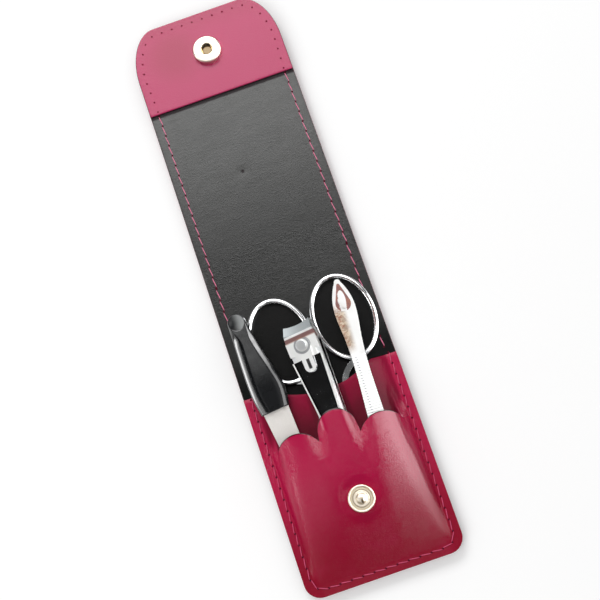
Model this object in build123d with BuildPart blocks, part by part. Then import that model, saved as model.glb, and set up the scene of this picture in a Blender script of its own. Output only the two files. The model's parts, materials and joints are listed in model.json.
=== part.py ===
from build123d import *
from math import asin, atan2, cos, degrees, exp, hypot, pi, radians, sin, sqrt, tan
import os

os.makedirs("parts", exist_ok=True)

# All sizes are in millimetres.  X runs across the case, Z up from the table, and the plan sizes
# marked "from the edge" run along Y from the pocket's bottom edge towards the end of the flap.

# Leather
case_width = 60.0
back_length = 112.5            # bottom edge to the first crease
spine_height = 18.5            # first crease to the second: the inner height of the closed case
flap_length = 101.5            # second crease to the end of the flap
cover_thickness = 1.1
lining_thickness = 0.9
pocket_thickness = 0.8
facing_thickness = 0.8
facing_length = 35.7
bottom_corner = 6.0
flap_corner_width = 12.0
flap_corner_length = 20.5
crease_gap = 0.1
quarter_turn = 90.0

# Pocket: one sheet, sewn down round three sides, with a scalloped slit for three tools
pocket_length = 77.2           # bottom edge to the scissors' mouth
pocket_half = 26.2             # half the width between the side seams
pocket_start = 3.7             # bottom seam, from the edge
pocket_full = 64.0             # from the edge, where the leather stands at its full height
pocket_height = 13.2           # the leather's rise over the clipper
side_drop = 2.0                # how much lower it stands over the file and the tweezers
valley_depth = 3.0             # between two tools, at the mouth
valley_width = 2.3
valley_start = 30.0
valley_end = 56.0
wall_power = 10                # steepness of the leather beside the seams
band_height = 2.9              # rise of the sheet over the scissors, above the slit
notch_width = 40.0             # dip in the scissors' mouth
notch_depth = 6.0
slit_gap = 0.3
left_foot = (-24.8, 51.4)      # ends of the slit, and the two points between its lobes
left_dip = (-7.65, 52.3)
right_dip = (7.7, 51.0)
right_foot = (23.9, 51.6)
left_lobe = (-15.6, 57.6)      # tops of the side lobes
right_lobe = (16.4, 55.5)
middle_lobe_top = 61.7
middle_lobe_radius = 7.3

# Press stud
stud_y = 28.4                  # from the edge
stud_radius = 5.0
stud_rim_height = 1.0
stud_rim_width = 0.9
stud_base = 0.45
stud_ring_radius = 2.9
stud_ring_inside = 2.2
stud_ring_height = 0.8
stud_neck_radius = 1.45
stud_head_radius = 1.75
stud_height = 2.75
stud_crown = 0.85              # metal left over the post
stud_sink = 0.3                # how far the leather is drawn in under the stud
stud_seat = 1.2
seat_margin = 1.2              # leather pressed flat round the stud
seat_play = 0.6
post_radius = 1.0
post_flange_radius = 4.0
post_flange = 0.5
snap_gap = 0.15
socket_radius = 5.65
socket_height = 2.5
socket_mouth = 2.3
socket_chamber = 4.3
socket_wall = 0.45
socket_round = 0.8
socket_lip = 0.4
spring_offset = 2.05
spring_wire = 0.25
cap_radius = 6.2
cap_rise = 1.0
cap_edge = 0.25
cap_flare = 1.7
flare_height = 0.2
running_gap = 0.05

# File
file_x, file_y, file_z = -19.2, 69.0, 7.9   # lower end of the handle, on the blade's middle plane
file_yaw, file_pitch = 5.4, 4.2
handle_length = 39.2
handle_thickness = 4.0
handle_neck = 5.15
handle_widest = 5.85
handle_widest_at = 11.0
handle_shoulder = 4.7
handle_shoulder_at = 23.0
handle_tip_radius = 3.3
handle_bevel = 1.5
handle_bevel_drop = 1.1
thumb_radius = 9.0
thumb_depth = 0.75
thumb_at = 35.8
blade_length = 55.0
blade_root = 4.9
blade_tip = 2.7
blade_thickness = 1.2
tang_width = 7.0
tang_length = 18.0
blade_point = 5.0

# Nail clipper
clipper_x, clipper_y, clipper_z = 1.35, 40.0, 7.95    # rear end, between the arms
clipper_yaw, clipper_pitch, clipper_roll = 3.0, 3.0, 15.0
clipper_length = 57.0
clipper_half = 6.1
clipper_rear_half = 4.1
clipper_edge_half = 5.3
clipper_corner = 1.5
arm_thickness = 1.3
arm_spread = 2.3               # degrees from the rivet
rivet_y = 6.0
rivet_radius = 1.2
rivet_head_radius = 2.1
rivet_head = 0.5
rivet_play = 0.1
pin_y = 48.0
pin_radius = 1.2
pin_head_radius = 1.9
pin_head = 0.9
pin_gap = 0.35
pin_foot = 0.5
pin_play = 0.3
jaw_gap = 0.95                 # half the opening between the cutting edges
jaw_height = 3.6
jaw_bevel = 3.4
jaw_hollow = 0.8
jaw_start = 50.0
jaw_crest = 52.2
jaw_land = 0.15                # what the bevel leaves of the cutting edge
lever_gap = 0.2
lever_front = 50.8
lever_half = 6.0
lever_rear_half = 3.35
lever_tail = 9.5
lever_thickness = 0.9
lever_lip = 0.7
lever_lip_height = 0.75
lever_shoulder = 43.0
boss_radius = 3.05
boss_tongue_radius = 2.2
boss_tongue = 8.3
boss_height = 0.7
keyhole_width = 1.0
keyhole_length = 3.4
notch_size = (1.7, 2.3)

# Nail scissors
scissors_x = 5.2
mouth_to_screw = 27.6          # from the pocket's mouth down to the scissors' screw
scissors_yaw = 2.5
scissors_clearance = 0.12
half_thickness = 1.16          # of each half at the screw
half_gap = 0.08
scissors_blade = 30.0
scissors_blade_root = 2.6
scissors_blade_tip = 0.3
pivot_radius = 3.6
screw_radius = 1.3
screw_head_radius = 2.2
screw_head = 0.5
screw_slot = 0.6
ring_wire = 2.0
ring_half_width = 11.4         # centre line of the wire
ring_half_height = 16.3
ring_x = 12.75
ring_y = 44.8
shank_width = 2.2
shank_line = [(0.8, 0.0), (2.6, 14.0), (3.6, 20.0), (6.0, 24.6), (10.0, 27.4), (12.75, 28.5)]

# Tweezers
tweezers_x, tweezers_y, tweezers_z = 13.4, 23.6, 5.65   # tips, on the middle plane
tweezers_yaw, tweezers_pitch = -2.9, 4.3
tweezers_length = 84.0
tweezers_half = 3.25
leaf_half = 4.0
leaf_at = 74.0
leaf_end_radius = 1.2
tip_half = 1.5
tweezer_thickness = 1.0
weld_y = 70.0
spread_y = 26.0
spread = 0.9
tip_gap = 0.7
rib_count = 24
rib_pitch = 1.0
rib_width = 0.5
rib_depth = 0.18
rib_start = 30.0
recess_depth = 0.45
recess_border = 1.1
recess_at = 74.6
spoon_half = 1.3
spoon_length = 7.0
spoon_at = 76.2

# Places that follow from the sizes above
inside = cover_thickness + lining_thickness
spine_end = back_length + spine_height
scissors_y = pocket_length - mouth_to_screw
closed_stack = facing_thickness + socket_height + snap_gap + stud_rim_height


def side_height(x):
    """Full rise of the pocket leather at x, before the walls fall to the seams."""
    towards_side = sin(pi / 2 * min(abs(x) / right_lobe[0], 1.0)) ** 2
    return pocket_height - side_drop * towards_side


def pocket_rise(x, y, half):
    """Rise of the pocket leather at x, y for a pocket that is half wide on each side."""
    along = sin(pi / 2 * min(max((y - pocket_start) / (pocket_full - pocket_start), 0.0), 1.0))
    wall = 1.0 - min(abs(x) / half, 1.0) ** wall_power
    near_mouth = min(max((y - valley_start) / (valley_end - valley_start), 0.0), 1.0)
    valleys = sum(exp(-((x - dip[0]) / valley_width) ** 2) for dip in (left_dip, right_dip))
    return along * (side_height(x) * wall - valley_depth * valleys * near_mouth**2)


# The closed flap lies over the stud: its length to the socket and its slope come from the stack
stud_z = inside + pocket_thickness + pocket_rise(0, stud_y, pocket_half) - stud_sink
reach = back_length - stud_y
drop = inside + spine_height - stud_z
socket_along = sqrt(reach**2 + drop**2 - closed_stack**2)
closed_slope = degrees(atan2(drop, reach) - atan2(closed_stack, socket_along))

# The open flap lies on the cap of its stud, which lifts its end off the table
cap_depth = inside + cap_rise
rest_tilt = degrees(atan2(cap_depth, socket_along) - asin(inside / hypot(socket_along, cap_depth)))
flap_fold = quarter_turn + closed_slope - rest_tilt
overall_length = spine_end + flap_length * cos(radians(rest_tilt)) + inside * sin(radians(rest_tilt))


def at(x, y, z):
    """Point from plan sizes: the origin is under the middle of the open case."""
    return (x, y - overall_length / 2, z)


def tool_plane(x, y, z, yaw, pitch, roll=0.0):
    """Plane with its Y along a tool and its Z out of the tool's upper face."""
    along = Vector(0, 1, 0).rotate(Axis.X, pitch).rotate(Axis.Z, yaw)
    across = Vector(1, 0, 0).rotate(Axis.Z, yaw).rotate(Axis((0, 0, 0), along), -roll)
    return Plane(origin=at(x, y, z), x_dir=across, z_dir=across.cross(along))


def side_plane(plane, offset=0.0):
    """Plane across a tool, seen from its side: X along the tool, Y out of its upper face."""
    return Plane(origin=plane.origin, x_dir=plane.y_dir, z_dir=plane.x_dir).offset(offset)


def along(plane, distance):
    """The plane moved along its own Y."""
    return Plane(origin=plane.origin + plane.y_dir * distance, x_dir=plane.x_dir, z_dir=plane.z_dir)


def turning_plane(plane):
    """Plane for a turned profile: X outwards and Y along the axis."""
    return Plane(origin=plane.origin, x_dir=plane.x_dir, z_dir=-plane.y_dir)


def axis_of(plane):
    return Axis(plane.origin, plane.z_dir)


def finish(builder, name):
    builder.part.label = name
    export_step(builder.part, f"parts/{name}.step")


# ---------------------------------------------------------------- back, spine and flap leather
base = Plane(at(0, 0, 0))
spine_plane = Plane(at(0, back_length, 0))
tilt = radians(rest_tilt)
flap_plane = Plane(origin=at(0, spine_end, inside), x_dir=(1, 0, 0), z_dir=(0, -sin(tilt), cos(tilt)))
slope = radians(closed_slope)
stud_plane = Plane(origin=at(0, stud_y, stud_z), x_dir=(1, 0, 0), z_dir=(0, -sin(slope), cos(slope)))
socket_plane = along(flap_plane, socket_along)

with BuildSketch() as back_shape:
    Rectangle(case_width, back_length - crease_gap / 2, align=(Align.CENTER, Align.MIN))
    fillet(back_shape.vertices().group_by(Axis.Y)[0], radius=bottom_corner)

with BuildPart() as back_cover:
    with BuildSketch(base):
        add(back_shape.sketch)
    extrude(amount=cover_thickness)
finish(back_cover, "back_cover")

with BuildPart() as back_lining:
    with BuildSketch(base.offset(cover_thickness)):
        add(back_shape.sketch)
    extrude(amount=lining_thickness)
finish(back_lining, "back_lining")

with BuildSketch() as spine_shape:
    with Locations((0, crease_gap / 2)):
        Rectangle(case_width, spine_height - crease_gap, align=(Align.CENTER, Align.MIN))

with BuildPart() as spine_cover:
    with BuildSketch(spine_plane):
        add(spine_shape.sketch)
    extrude(amount=cover_thickness)
finish(spine_cover, "spine_cover")

with BuildPart() as spine_lining:
    with BuildSketch(spine_plane.offset(cover_thickness)):
        add(spine_shape.sketch)
    extrude(amount=lining_thickness)
finish(spine_lining, "spine_lining")

half_width = case_width / 2
corner_x = half_width - flap_corner_width
corner_y = flap_length - flap_corner_length
with BuildSketch() as flap_shape:
    with BuildLine():
        Polyline(
            (-half_width, corner_y), (-half_width, crease_gap / 2), (half_width, crease_gap / 2), (half_width, corner_y)
        )
        for side, start in ((1, 0), (-1, quarter_turn)):
            corner = (side * corner_x, corner_y)
            EllipticalCenterArc(corner, flap_corner_width, flap_corner_length, start_angle=start, arc_size=quarter_turn)
        Line((corner_x, flap_length), (-corner_x, flap_length))
    make_face()
    with Locations((0, socket_along)):
        Circle(post_radius + running_gap, mode=Mode.SUBTRACT)

with BuildPart() as flap_cover:
    with BuildSketch(flap_plane.offset(-inside)):
        add(flap_shape.sketch)
    extrude(amount=cover_thickness)
finish(flap_cover, "flap_cover")

with BuildPart() as flap_lining:
    with BuildSketch(flap_plane.offset(-lining_thickness)):
        add(flap_shape.sketch)
    extrude(amount=lining_thickness)
finish(flap_lining, "flap_lining")

with BuildPart() as flap_facing:
    with BuildSketch(flap_plane):
        add(flap_shape.sketch)
        with Locations((0, flap_length)):
            Rectangle(case_width, 2 * facing_length, mode=Mode.INTERSECT)
    extrude(amount=facing_thickness)
finish(flap_facing, "flap_facing")

# ---------------------------------------------------------------- pocket
section_points = 19
section_ys = [pocket_start + (pocket_full - pocket_start) * share for share in (0, 0.18, 0.4, 0.62, 0.82, 1)]


def spread_points(half, height):
    """Points of a section curve, closer together towards the walls."""
    turns = [pi * (i / (section_points - 1) - 0.5) for i in range(section_points)]
    return [(half * sin(turn), height(half * sin(turn))) for turn in turns]


def section_plane(y):
    return Plane(origin=at(0, y, inside), x_dir=(1, 0, 0), z_dir=(0, -1, 0))


def sheet_section(y, rise):
    """Closed section of a sewn-down sheet at y, whose rise is a function of x and the half width."""
    inner_half = pocket_half - pocket_thickness
    with BuildSketch(section_plane(y)) as section:
        with BuildLine():
            Spline(*spread_points(pocket_half, lambda x: pocket_thickness + rise(x, pocket_half)))
            Polyline((pocket_half, pocket_thickness), (pocket_half, 0), (inner_half, 0))
            Spline(*spread_points(inner_half, lambda x: rise(x, inner_half)))
            Polyline((-inner_half, 0), (-pocket_half, 0), (-pocket_half, pocket_thickness))
        make_face()
    return section.sketch


def band_rise(x, half):
    return band_height * (1.0 - min(abs(x) / half, 1.0) ** wall_power)


# The slit: everything of the sheet above these lobes belongs to the band behind the tools
with BuildSketch() as above_slit:
    with BuildLine():
        ThreePointArc(left_foot, left_lobe, left_dip)
        shoulder = middle_lobe_top - middle_lobe_radius
        Line(left_dip, (-middle_lobe_radius, shoulder))
        ThreePointArc((-middle_lobe_radius, shoulder), (0, middle_lobe_top), (middle_lobe_radius, shoulder))
        Line((middle_lobe_radius, shoulder), right_dip)
        ThreePointArc(right_dip, right_lobe, right_foot)
        Polyline(
            right_foot,
            (case_width, right_foot[1]),
            (case_width, 2 * pocket_length),
            (-case_width, 2 * pocket_length),
            (-case_width, left_foot[1]),
            left_foot,
        )
    make_face()

with BuildPart() as slit_tool:
    with BuildSketch(base):
        Rectangle(2 * case_width, 2 * pocket_length)
        offset(above_slit.sketch, amount=-slit_gap, mode=Mode.SUBTRACT)
    extrude(amount=2 * pocket_length)

with BuildPart() as pocket_band:
    extrude(sheet_section(left_foot[1], band_rise), amount=left_foot[1] - pocket_length)
    add(slit_tool.part, mode=Mode.SUBTRACT)
    with BuildSketch(base):
        with BuildLine():
            ThreePointArc(
                (-notch_width / 2, pocket_length),
                (0, pocket_length - notch_depth),
                (notch_width / 2, pocket_length),
            )
            Line((notch_width / 2, pocket_length), (-notch_width / 2, pocket_length))
        make_face()
    extrude(amount=2 * pocket_length, mode=Mode.SUBTRACT)

with BuildPart() as front_pocket:
    loft([sheet_section(y, lambda x, half: pocket_rise(x, y, half)) for y in section_ys])
    with BuildSketch(base):
        add(above_slit.sketch)
    extrude(amount=2 * pocket_length, mode=Mode.SUBTRACT)
    add(pocket_band.part)
    with BuildSketch(base.offset(inside)):
        add(back_shape.sketch)
        Rectangle(2 * case_width, 2 * pocket_length, mode=Mode.INTERSECT)
        with Locations((0, pocket_start)):
            Rectangle(2 * pocket_half, back_length, align=(Align.CENTER, Align.MIN), mode=Mode.SUBTRACT)
    extrude(amount=pocket_thickness)
    with BuildSketch(stud_plane.offset(-stud_seat)):
        Circle(stud_radius + seat_margin)
    extrude(amount=stud_seat)
    with BuildSketch(stud_plane):
        Circle(stud_radius + seat_play)
    extrude(amount=stud_height, mode=Mode.SUBTRACT)
    with BuildSketch(stud_plane.offset(-stud_seat)):
        Circle(post_flange_radius + slit_gap)
    extrude(amount=-2 * stud_seat, mode=Mode.SUBTRACT)
    with BuildSketch(stud_plane.offset(-2 * stud_seat)):
        Circle(post_radius + running_gap)
    extrude(amount=4 * stud_seat, mode=Mode.SUBTRACT)
finish(front_pocket, "front_pocket")

# ---------------------------------------------------------------- press stud
bore = post_radius + running_gap
with BuildPart() as snap_stud:
    with BuildSketch(turning_plane(stud_plane)):
        with BuildLine():
            rim_inside = stud_radius - stud_rim_width
            rim_side = stud_rim_height - stud_rim_width / 2
            bore_top = stud_height - stud_crown
            neck_top = (stud_ring_height + bore_top) / 2
            Polyline((0, stud_height), (0, bore_top), (bore, bore_top), (bore, 0), (stud_radius, 0), (stud_radius, rim_side))
            CenterArc((stud_radius - stud_rim_width / 2, rim_side), stud_rim_width / 2, 0, 180)
            Polyline(
                (rim_inside, rim_side),
                (rim_inside, stud_base),
                (stud_ring_radius, stud_base),
                (stud_ring_radius, stud_ring_height),
                (stud_ring_inside, stud_ring_height),
                (stud_neck_radius, neck_top),
            )
            Spline(
                (stud_neck_radius, neck_top),
                (stud_head_radius, bore_top),
                (0, stud_height),
                tangents=((0, 1), (-1, 0)),
            )
        make_face()
    revolve(axis=axis_of(stud_plane))
finish(snap_stud, "snap_stud")

with BuildPart() as snap_stud_post:
    with BuildSketch(stud_plane.offset(-stud_seat)):
        Circle(post_flange_radius)
    extrude(amount=-post_flange)
    with BuildSketch(stud_plane.offset(-stud_seat)):
        Circle(post_radius)
    extrude(amount=stud_seat + bore_top - running_gap)
finish(snap_stud_post, "snap_stud_post")

socket_floor = facing_thickness + socket_wall
socket_face = facing_thickness + socket_height
socket_ceiling = socket_face - socket_wall
with BuildPart() as snap_socket:
    with BuildSketch(turning_plane(socket_plane)):
        with BuildLine():
            Polyline(
                (socket_mouth, socket_face - socket_lip),
                (socket_mouth, socket_ceiling),
                (socket_chamber, socket_ceiling),
                (socket_chamber, socket_floor),
                (bore, socket_floor),
                (bore, facing_thickness),
                (socket_radius, facing_thickness),
                (socket_radius, socket_face - socket_round),
            )
            CenterArc((socket_radius - socket_round, socket_face - socket_round), socket_round, 0, 90)
            Line((socket_radius - socket_round, socket_face), (socket_mouth + socket_lip, socket_face))
            CenterArc((socket_mouth + socket_lip, socket_face - socket_lip), socket_lip, 90, 90)
        make_face()
    revolve(axis=axis_of(socket_plane))
finish(snap_socket, "snap_socket")

spring_plane = socket_plane.offset(socket_ceiling - spring_wire)
spring_ring = socket_chamber - spring_wire
with BuildPart() as snap_socket_spring:
    with BuildSketch(turning_plane(spring_plane)):
        with Locations((spring_ring, 0)):
            Circle(spring_wire)
    revolve(axis=axis_of(spring_plane))
    across_spring = Plane(origin=spring_plane.origin, x_dir=spring_plane.x_dir, z_dir=spring_plane.y_dir)
    with BuildSketch(across_spring):
        with Locations((-spring_offset, 0), (spring_offset, 0)):
            Circle(spring_wire)
    extrude(amount=sqrt(spring_ring**2 - spring_offset**2), both=True)
finish(snap_socket_spring, "snap_socket_spring")

with BuildPart() as snap_cap:
    with BuildSketch(turning_plane(socket_plane)):
        with BuildLine():
            flare_top = socket_floor + flare_height
            Polyline(
                (0, -inside - cap_rise),
                (0, flare_top),
                (cap_flare, flare_top),
                (cap_flare, socket_floor),
                (post_radius, socket_floor),
                (post_radius, -inside),
                (cap_radius, -inside),
                (cap_radius, -inside - cap_edge),
            )
            TangentArc((0, -inside - cap_rise), (cap_radius, -inside - cap_edge), tangent=(1, 0))
        make_face()
    revolve(axis=axis_of(socket_plane))
finish(snap_cap, "snap_cap")

# ---------------------------------------------------------------- file
file_plane = tool_plane(file_x, file_y, file_z, file_yaw, file_pitch)
with BuildPart() as file_handle:
    with BuildSketch(file_plane):
        with BuildLine():
            tip_start = handle_length - handle_tip_radius
            Spline(
                (handle_neck, 0),
                (handle_widest, handle_widest_at),
                (handle_shoulder, handle_shoulder_at),
                (handle_tip_radius, tip_start),
                tangents=((0, 1), (0, 1)),
            )
            mirror(about=Plane.YZ)
            Line((-handle_neck, 0), (handle_neck, 0))
            ThreePointArc((handle_tip_radius, tip_start), (0, handle_length), (-handle_tip_radius, tip_start))
        make_face()
    extrude(amount=handle_thickness / 2)
    flat = file_handle.faces().sort_by(axis_of(file_plane))[-1]
    chamfer(flat.edges(), length=handle_bevel, length2=handle_bevel_drop, reference=flat)
    mirror(about=file_plane)
    with Locations(file_plane.from_local_coords((0, thumb_at, handle_thickness / 2 + thumb_radius - thumb_depth))):
        Sphere(thumb_radius, mode=Mode.SUBTRACT)
    with BuildSketch(file_plane):
        Rectangle(tang_width, tang_length, align=(Align.CENTER, Align.MIN))
    extrude(amount=blade_thickness / 2, both=True, mode=Mode.SUBTRACT)
finish(file_handle, "file_handle")

with BuildPart() as file_blade:
    with BuildSketch(file_plane):
        with BuildLine():
            Line((0, 0), (blade_root, 0))
            Line((blade_root, 0), (blade_tip, blade_point - blade_length))
            mirror(about=Plane.YZ)
            point_start = blade_point - blade_length
            ThreePointArc((blade_tip, point_start), (0, -blade_length), (-blade_tip, point_start))
        make_face()
        Rectangle(tang_width, tang_length, align=(Align.CENTER, Align.MIN))
    extrude(amount=blade_thickness / 2, both=True)
finish(file_blade, "file_blade")

# ---------------------------------------------------------------- nail clipper
clipper_plane = tool_plane(clipper_x, clipper_y, clipper_z, clipper_yaw, clipper_pitch, clipper_roll)
rivet_plane = along(clipper_plane, rivet_y)
pin_plane = along(clipper_plane, pin_y)


def arm_rise(y):
    """Height of an arm's inner face over the middle plane."""
    return max(y - rivet_y, 0.0) * tan(radians(arm_spread))


with BuildPart() as clipper_upper_arm:
    with BuildSketch(side_plane(clipper_plane)):
        Polygon(
            (0, 0),
            (rivet_y, 0),
            (jaw_start, arm_rise(jaw_start)),
            (clipper_length, jaw_gap),
            (clipper_length, jaw_height),
            (jaw_crest, jaw_height),
            (jaw_start, arm_rise(jaw_start) + arm_thickness),
            (rivet_y, arm_thickness),
            (0, arm_thickness),
            align=None,
        )
    extrude(amount=case_width / 2, both=True)
    with BuildSketch(clipper_plane):
        with BuildLine():
            Line((0, 0), (clipper_rear_half - clipper_corner, 0))
            CenterArc((clipper_rear_half - clipper_corner, clipper_corner), clipper_corner, -90, 90)
            Polyline(
                (clipper_rear_half, clipper_corner),
                (clipper_half, jaw_start),
                (clipper_edge_half, clipper_length),
            )
            mirror(about=Plane.YZ)
            ThreePointArc(
                (clipper_edge_half, clipper_length),
                (0, clipper_length - jaw_hollow),
                (-clipper_edge_half, clipper_length),
            )
        make_face()
    extrude(amount=2 * jaw_height, mode=Mode.INTERSECT)
    jaw_top = clipper_upper_arm.faces().sort_by(axis_of(clipper_plane))[-1]
    chamfer(
        jaw_top.edges().filter_by(GeomType.CIRCLE),
        length=jaw_bevel,
        length2=jaw_height - jaw_gap - jaw_land,
        reference=jaw_top,
    )
    with BuildSketch(clipper_plane):
        with Locations((0, pin_y)):
            Circle(pin_radius + pin_gap)
        with Locations((0, rivet_y)):
            Circle(rivet_radius + rivet_play)
    extrude(amount=2 * jaw_height, mode=Mode.SUBTRACT)
finish(clipper_upper_arm, "clipper_upper_arm")

with BuildPart() as clipper_lower_arm:
    mirror(clipper_upper_arm.part, about=clipper_plane)
finish(clipper_lower_arm, "clipper_lower_arm")


def headed_pin(plane, shaft, foot, low, head, high, rounding):
    """Pin along the plane's axis, with a foot and a head, each given as (radius, thickness)."""
    foot_end, head_end = low - foot[1], high + head[1]
    with BuildPart() as pin:
        with BuildSketch(turning_plane(plane)):
            Polygon(
                (0, foot_end),
                (foot[0] - rounding, foot_end),
                (foot[0], foot_end + rounding),
                (foot[0], low),
                (shaft, low),
                (shaft, high),
                (head[0], high),
                (head[0], head_end - rounding),
                (head[0] - rounding, head_end),
                (0, head_end),
                align=None,
            )
        revolve(axis=axis_of(plane))
    return pin


clipper_rivet = headed_pin(
    rivet_plane,
    rivet_radius,
    (rivet_head_radius, rivet_head),
    -arm_rise(rivet_y + rivet_head_radius) - arm_thickness,
    (rivet_head_radius, rivet_head),
    arm_rise(rivet_y + rivet_head_radius) + arm_thickness + rivet_play,
    rivet_play,
)
finish(clipper_rivet, "clipper_rivet")

lever_stack = (arm_thickness + lever_gap + lever_thickness + boss_height) / cos(radians(arm_spread))
clipper_pin = headed_pin(
    pin_plane,
    pin_radius,
    (pin_head_radius, pin_foot),
    -arm_rise(pin_y + pin_head_radius) - arm_thickness,
    (pin_head_radius, pin_head),
    arm_rise(pin_y + pin_head_radius) + lever_stack + pin_play,
    rivet_play,
)
finish(clipper_pin, "clipper_pin")

lever_up = clipper_plane.z_dir.rotate(Axis((0, 0, 0), clipper_plane.x_dir), arm_spread)
lever_base = along(Plane(origin=rivet_plane.origin, x_dir=clipper_plane.x_dir, z_dir=lever_up), -rivet_y)
lever_plane = lever_base.offset(arm_thickness + lever_gap)
with BuildSketch() as lever_shape:
    with BuildLine():
        Line((0, lever_tail), (lever_rear_half - clipper_corner, lever_tail))
        CenterArc((lever_rear_half - clipper_corner, lever_tail + clipper_corner), clipper_corner, -90, 90)
        Polyline(
            (lever_rear_half, lever_tail + clipper_corner),
            (lever_half, lever_shoulder),
            (lever_half, lever_front),
            (0, lever_front),
        )
        mirror(about=Plane.YZ)
    make_face()

with BuildPart() as clipper_lever:
    with BuildSketch(lever_plane):
        add(lever_shape.sketch)
        with Locations((-lever_half, lever_shoulder), (lever_half, lever_shoulder)):
            Rectangle(2 * notch_size[0], notch_size[1], align=(Align.CENTER, Align.MIN), mode=Mode.SUBTRACT)
    extrude(amount=lever_thickness)
    with BuildSketch(lever_plane.offset(lever_thickness)):
        add(lever_shape.sketch)
        offset(lever_shape.sketch, amount=-lever_lip, mode=Mode.SUBTRACT)
        Rectangle(case_width, 2 * lever_shoulder, mode=Mode.INTERSECT)
    extrude(amount=lever_lip_height)
    with BuildSketch(lever_plane.offset(lever_thickness)):
        with Locations((0, pin_y)):
            Circle(boss_radius)
        with Locations((0, pin_y - boss_tongue)):
            Circle(boss_tongue_radius)
        make_hull()
        with Locations((0, pin_y - boss_tongue)):
            SlotOverall(keyhole_length, keyhole_width, rotation=90, mode=Mode.SUBTRACT)
    extrude(amount=boss_height)
    with BuildSketch(lever_plane):
        with Locations((0, pin_y)):
            Circle(pin_radius + pin_gap)
    extrude(amount=2 * jaw_height, mode=Mode.SUBTRACT)
finish(clipper_lever, "clipper_lever")

# ---------------------------------------------------------------- nail scissors
scissors_plane = tool_plane(scissors_x, scissors_y, inside + scissors_clearance, scissors_yaw, 0.0)
ring_plane = scissors_plane.offset(ring_wire / 2)
upper_layer = half_thickness + half_gap
scissors_top = upper_layer + half_thickness


def scissor_half(side, layer):
    """One half: blade, screw eye, shank and finger ring, the ring on the given side."""
    with BuildPart() as half:
        with BuildSketch(scissors_plane.offset(layer)):
            with BuildLine() as shank:
                Spline(*[(side * x, y) for x, y in shank_line])
            trace(shank.line, shank_width)
            Circle(pivot_radius)
            Polygon(
                (-side * scissors_blade_root, 0),
                (side * scissors_blade_root, 0),
                (side * scissors_blade_tip, -scissors_blade),
                (-side * scissors_blade_tip, -scissors_blade),
                align=None,
            )
        extrude(amount=half_thickness)
        with BuildSketch(scissors_plane):
            Circle(screw_radius + running_gap)
        extrude(amount=scissors_top, mode=Mode.SUBTRACT)
        with BuildSketch(scissors_plane.offset(scissors_top - screw_head)):
            Circle(screw_head_radius + running_gap)
        extrude(amount=scissors_top, mode=Mode.SUBTRACT)
        with BuildLine(ring_plane.offset(layer / 4)) as ring:
            EllipticalCenterArc((side * ring_x, ring_y), ring_half_width, ring_half_height, start_angle=-90, arc_size=4 * quarter_turn)
        with BuildSketch(Plane(origin=ring.line @ 0, z_dir=ring.line % 0)):
            Circle(ring_wire / 2)
        sweep(path=ring.line)
    return half


scissor_left_half = scissor_half(-1, 0.0)
finish(scissor_left_half, "scissor_left_half")
scissor_right_half = scissor_half(1, upper_layer)
finish(scissor_right_half, "scissor_right_half")

with BuildPart() as scissors_screw:
    with BuildSketch(scissors_plane):
        Circle(screw_radius)
    extrude(amount=scissors_top)
    with BuildSketch(scissors_plane.offset(scissors_top - screw_head)):
        Circle(screw_head_radius)
    extrude(amount=screw_head)
    with BuildSketch(scissors_plane.offset(scissors_top - screw_head / 2)):
        Rectangle(2 * screw_head_radius, screw_slot)
    extrude(amount=screw_head, mode=Mode.SUBTRACT)
finish(scissors_screw, "scissors_screw")

# ---------------------------------------------------------------- tweezers
tweezers_plane = tool_plane(tweezers_x, tweezers_y, tweezers_z, tweezers_yaw, tweezers_pitch)


def strip_rise(y):
    """Height of an arm's inner face over the middle plane, from the weld to the tips."""
    from_weld = spread * (weld_y - y) / (weld_y - spread_y)
    to_tip = spread + (tip_gap - spread) * (spread_y - y) / spread_y
    return max(min(from_weld, to_tip), 0.0)


with BuildSketch() as tweezers_shape:
    with BuildLine():
        leaf_end = tweezers_length - leaf_end_radius
        leaf_waist = weld_y - (tweezers_length - weld_y) / 2
        Line((0, 0), (tip_half, 0))
        Spline(
            (tip_half, 0),
            (tweezers_half, spread_y),
            (tweezers_half, leaf_waist),
            (leaf_half, leaf_at),
            (leaf_end_radius, leaf_end),
        )
        CenterArc((0, leaf_end), leaf_end_radius, 0, 90)
        mirror(about=Plane.YZ)
    make_face()

def tweezers_arm(side, profile):
    """One ribbed arm from its side profile, on the given side of the middle plane."""
    with BuildPart() as arm:
        with BuildSketch(side_plane(tweezers_plane)):
            Polygon(*[(y, side * z) for y, z in profile], align=None)
        extrude(amount=case_width / 2, both=True)
        with BuildSketch(tweezers_plane):
            add(tweezers_shape.sketch)
        extrude(amount=2 * spread + tweezer_thickness, both=True, mode=Mode.INTERSECT)
        for rib in range(rib_count):
            y = rib_start + rib * rib_pitch
            groove = along(tweezers_plane, y).offset(side * (strip_rise(y) + tweezer_thickness - rib_depth))
            with BuildSketch(groove):
                Rectangle(3 * tweezers_half, rib_width)
            extrude(amount=side * 2 * rib_depth, mode=Mode.SUBTRACT)
    return arm


inner_line = [(y, strip_rise(y)) for y in (0, spread_y, weld_y)]
outer_line = [(y, rise + tweezer_thickness) for y, rise in reversed(inner_line)]
leaf_line = [
    (weld_y, -tweezer_thickness),
    (tweezers_length, -tweezer_thickness),
    (tweezers_length, tweezer_thickness),
]
tweezers_upper_arm = tweezers_arm(1, inner_line + outer_line)
finish(tweezers_upper_arm, "tweezers_upper_arm")

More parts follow.
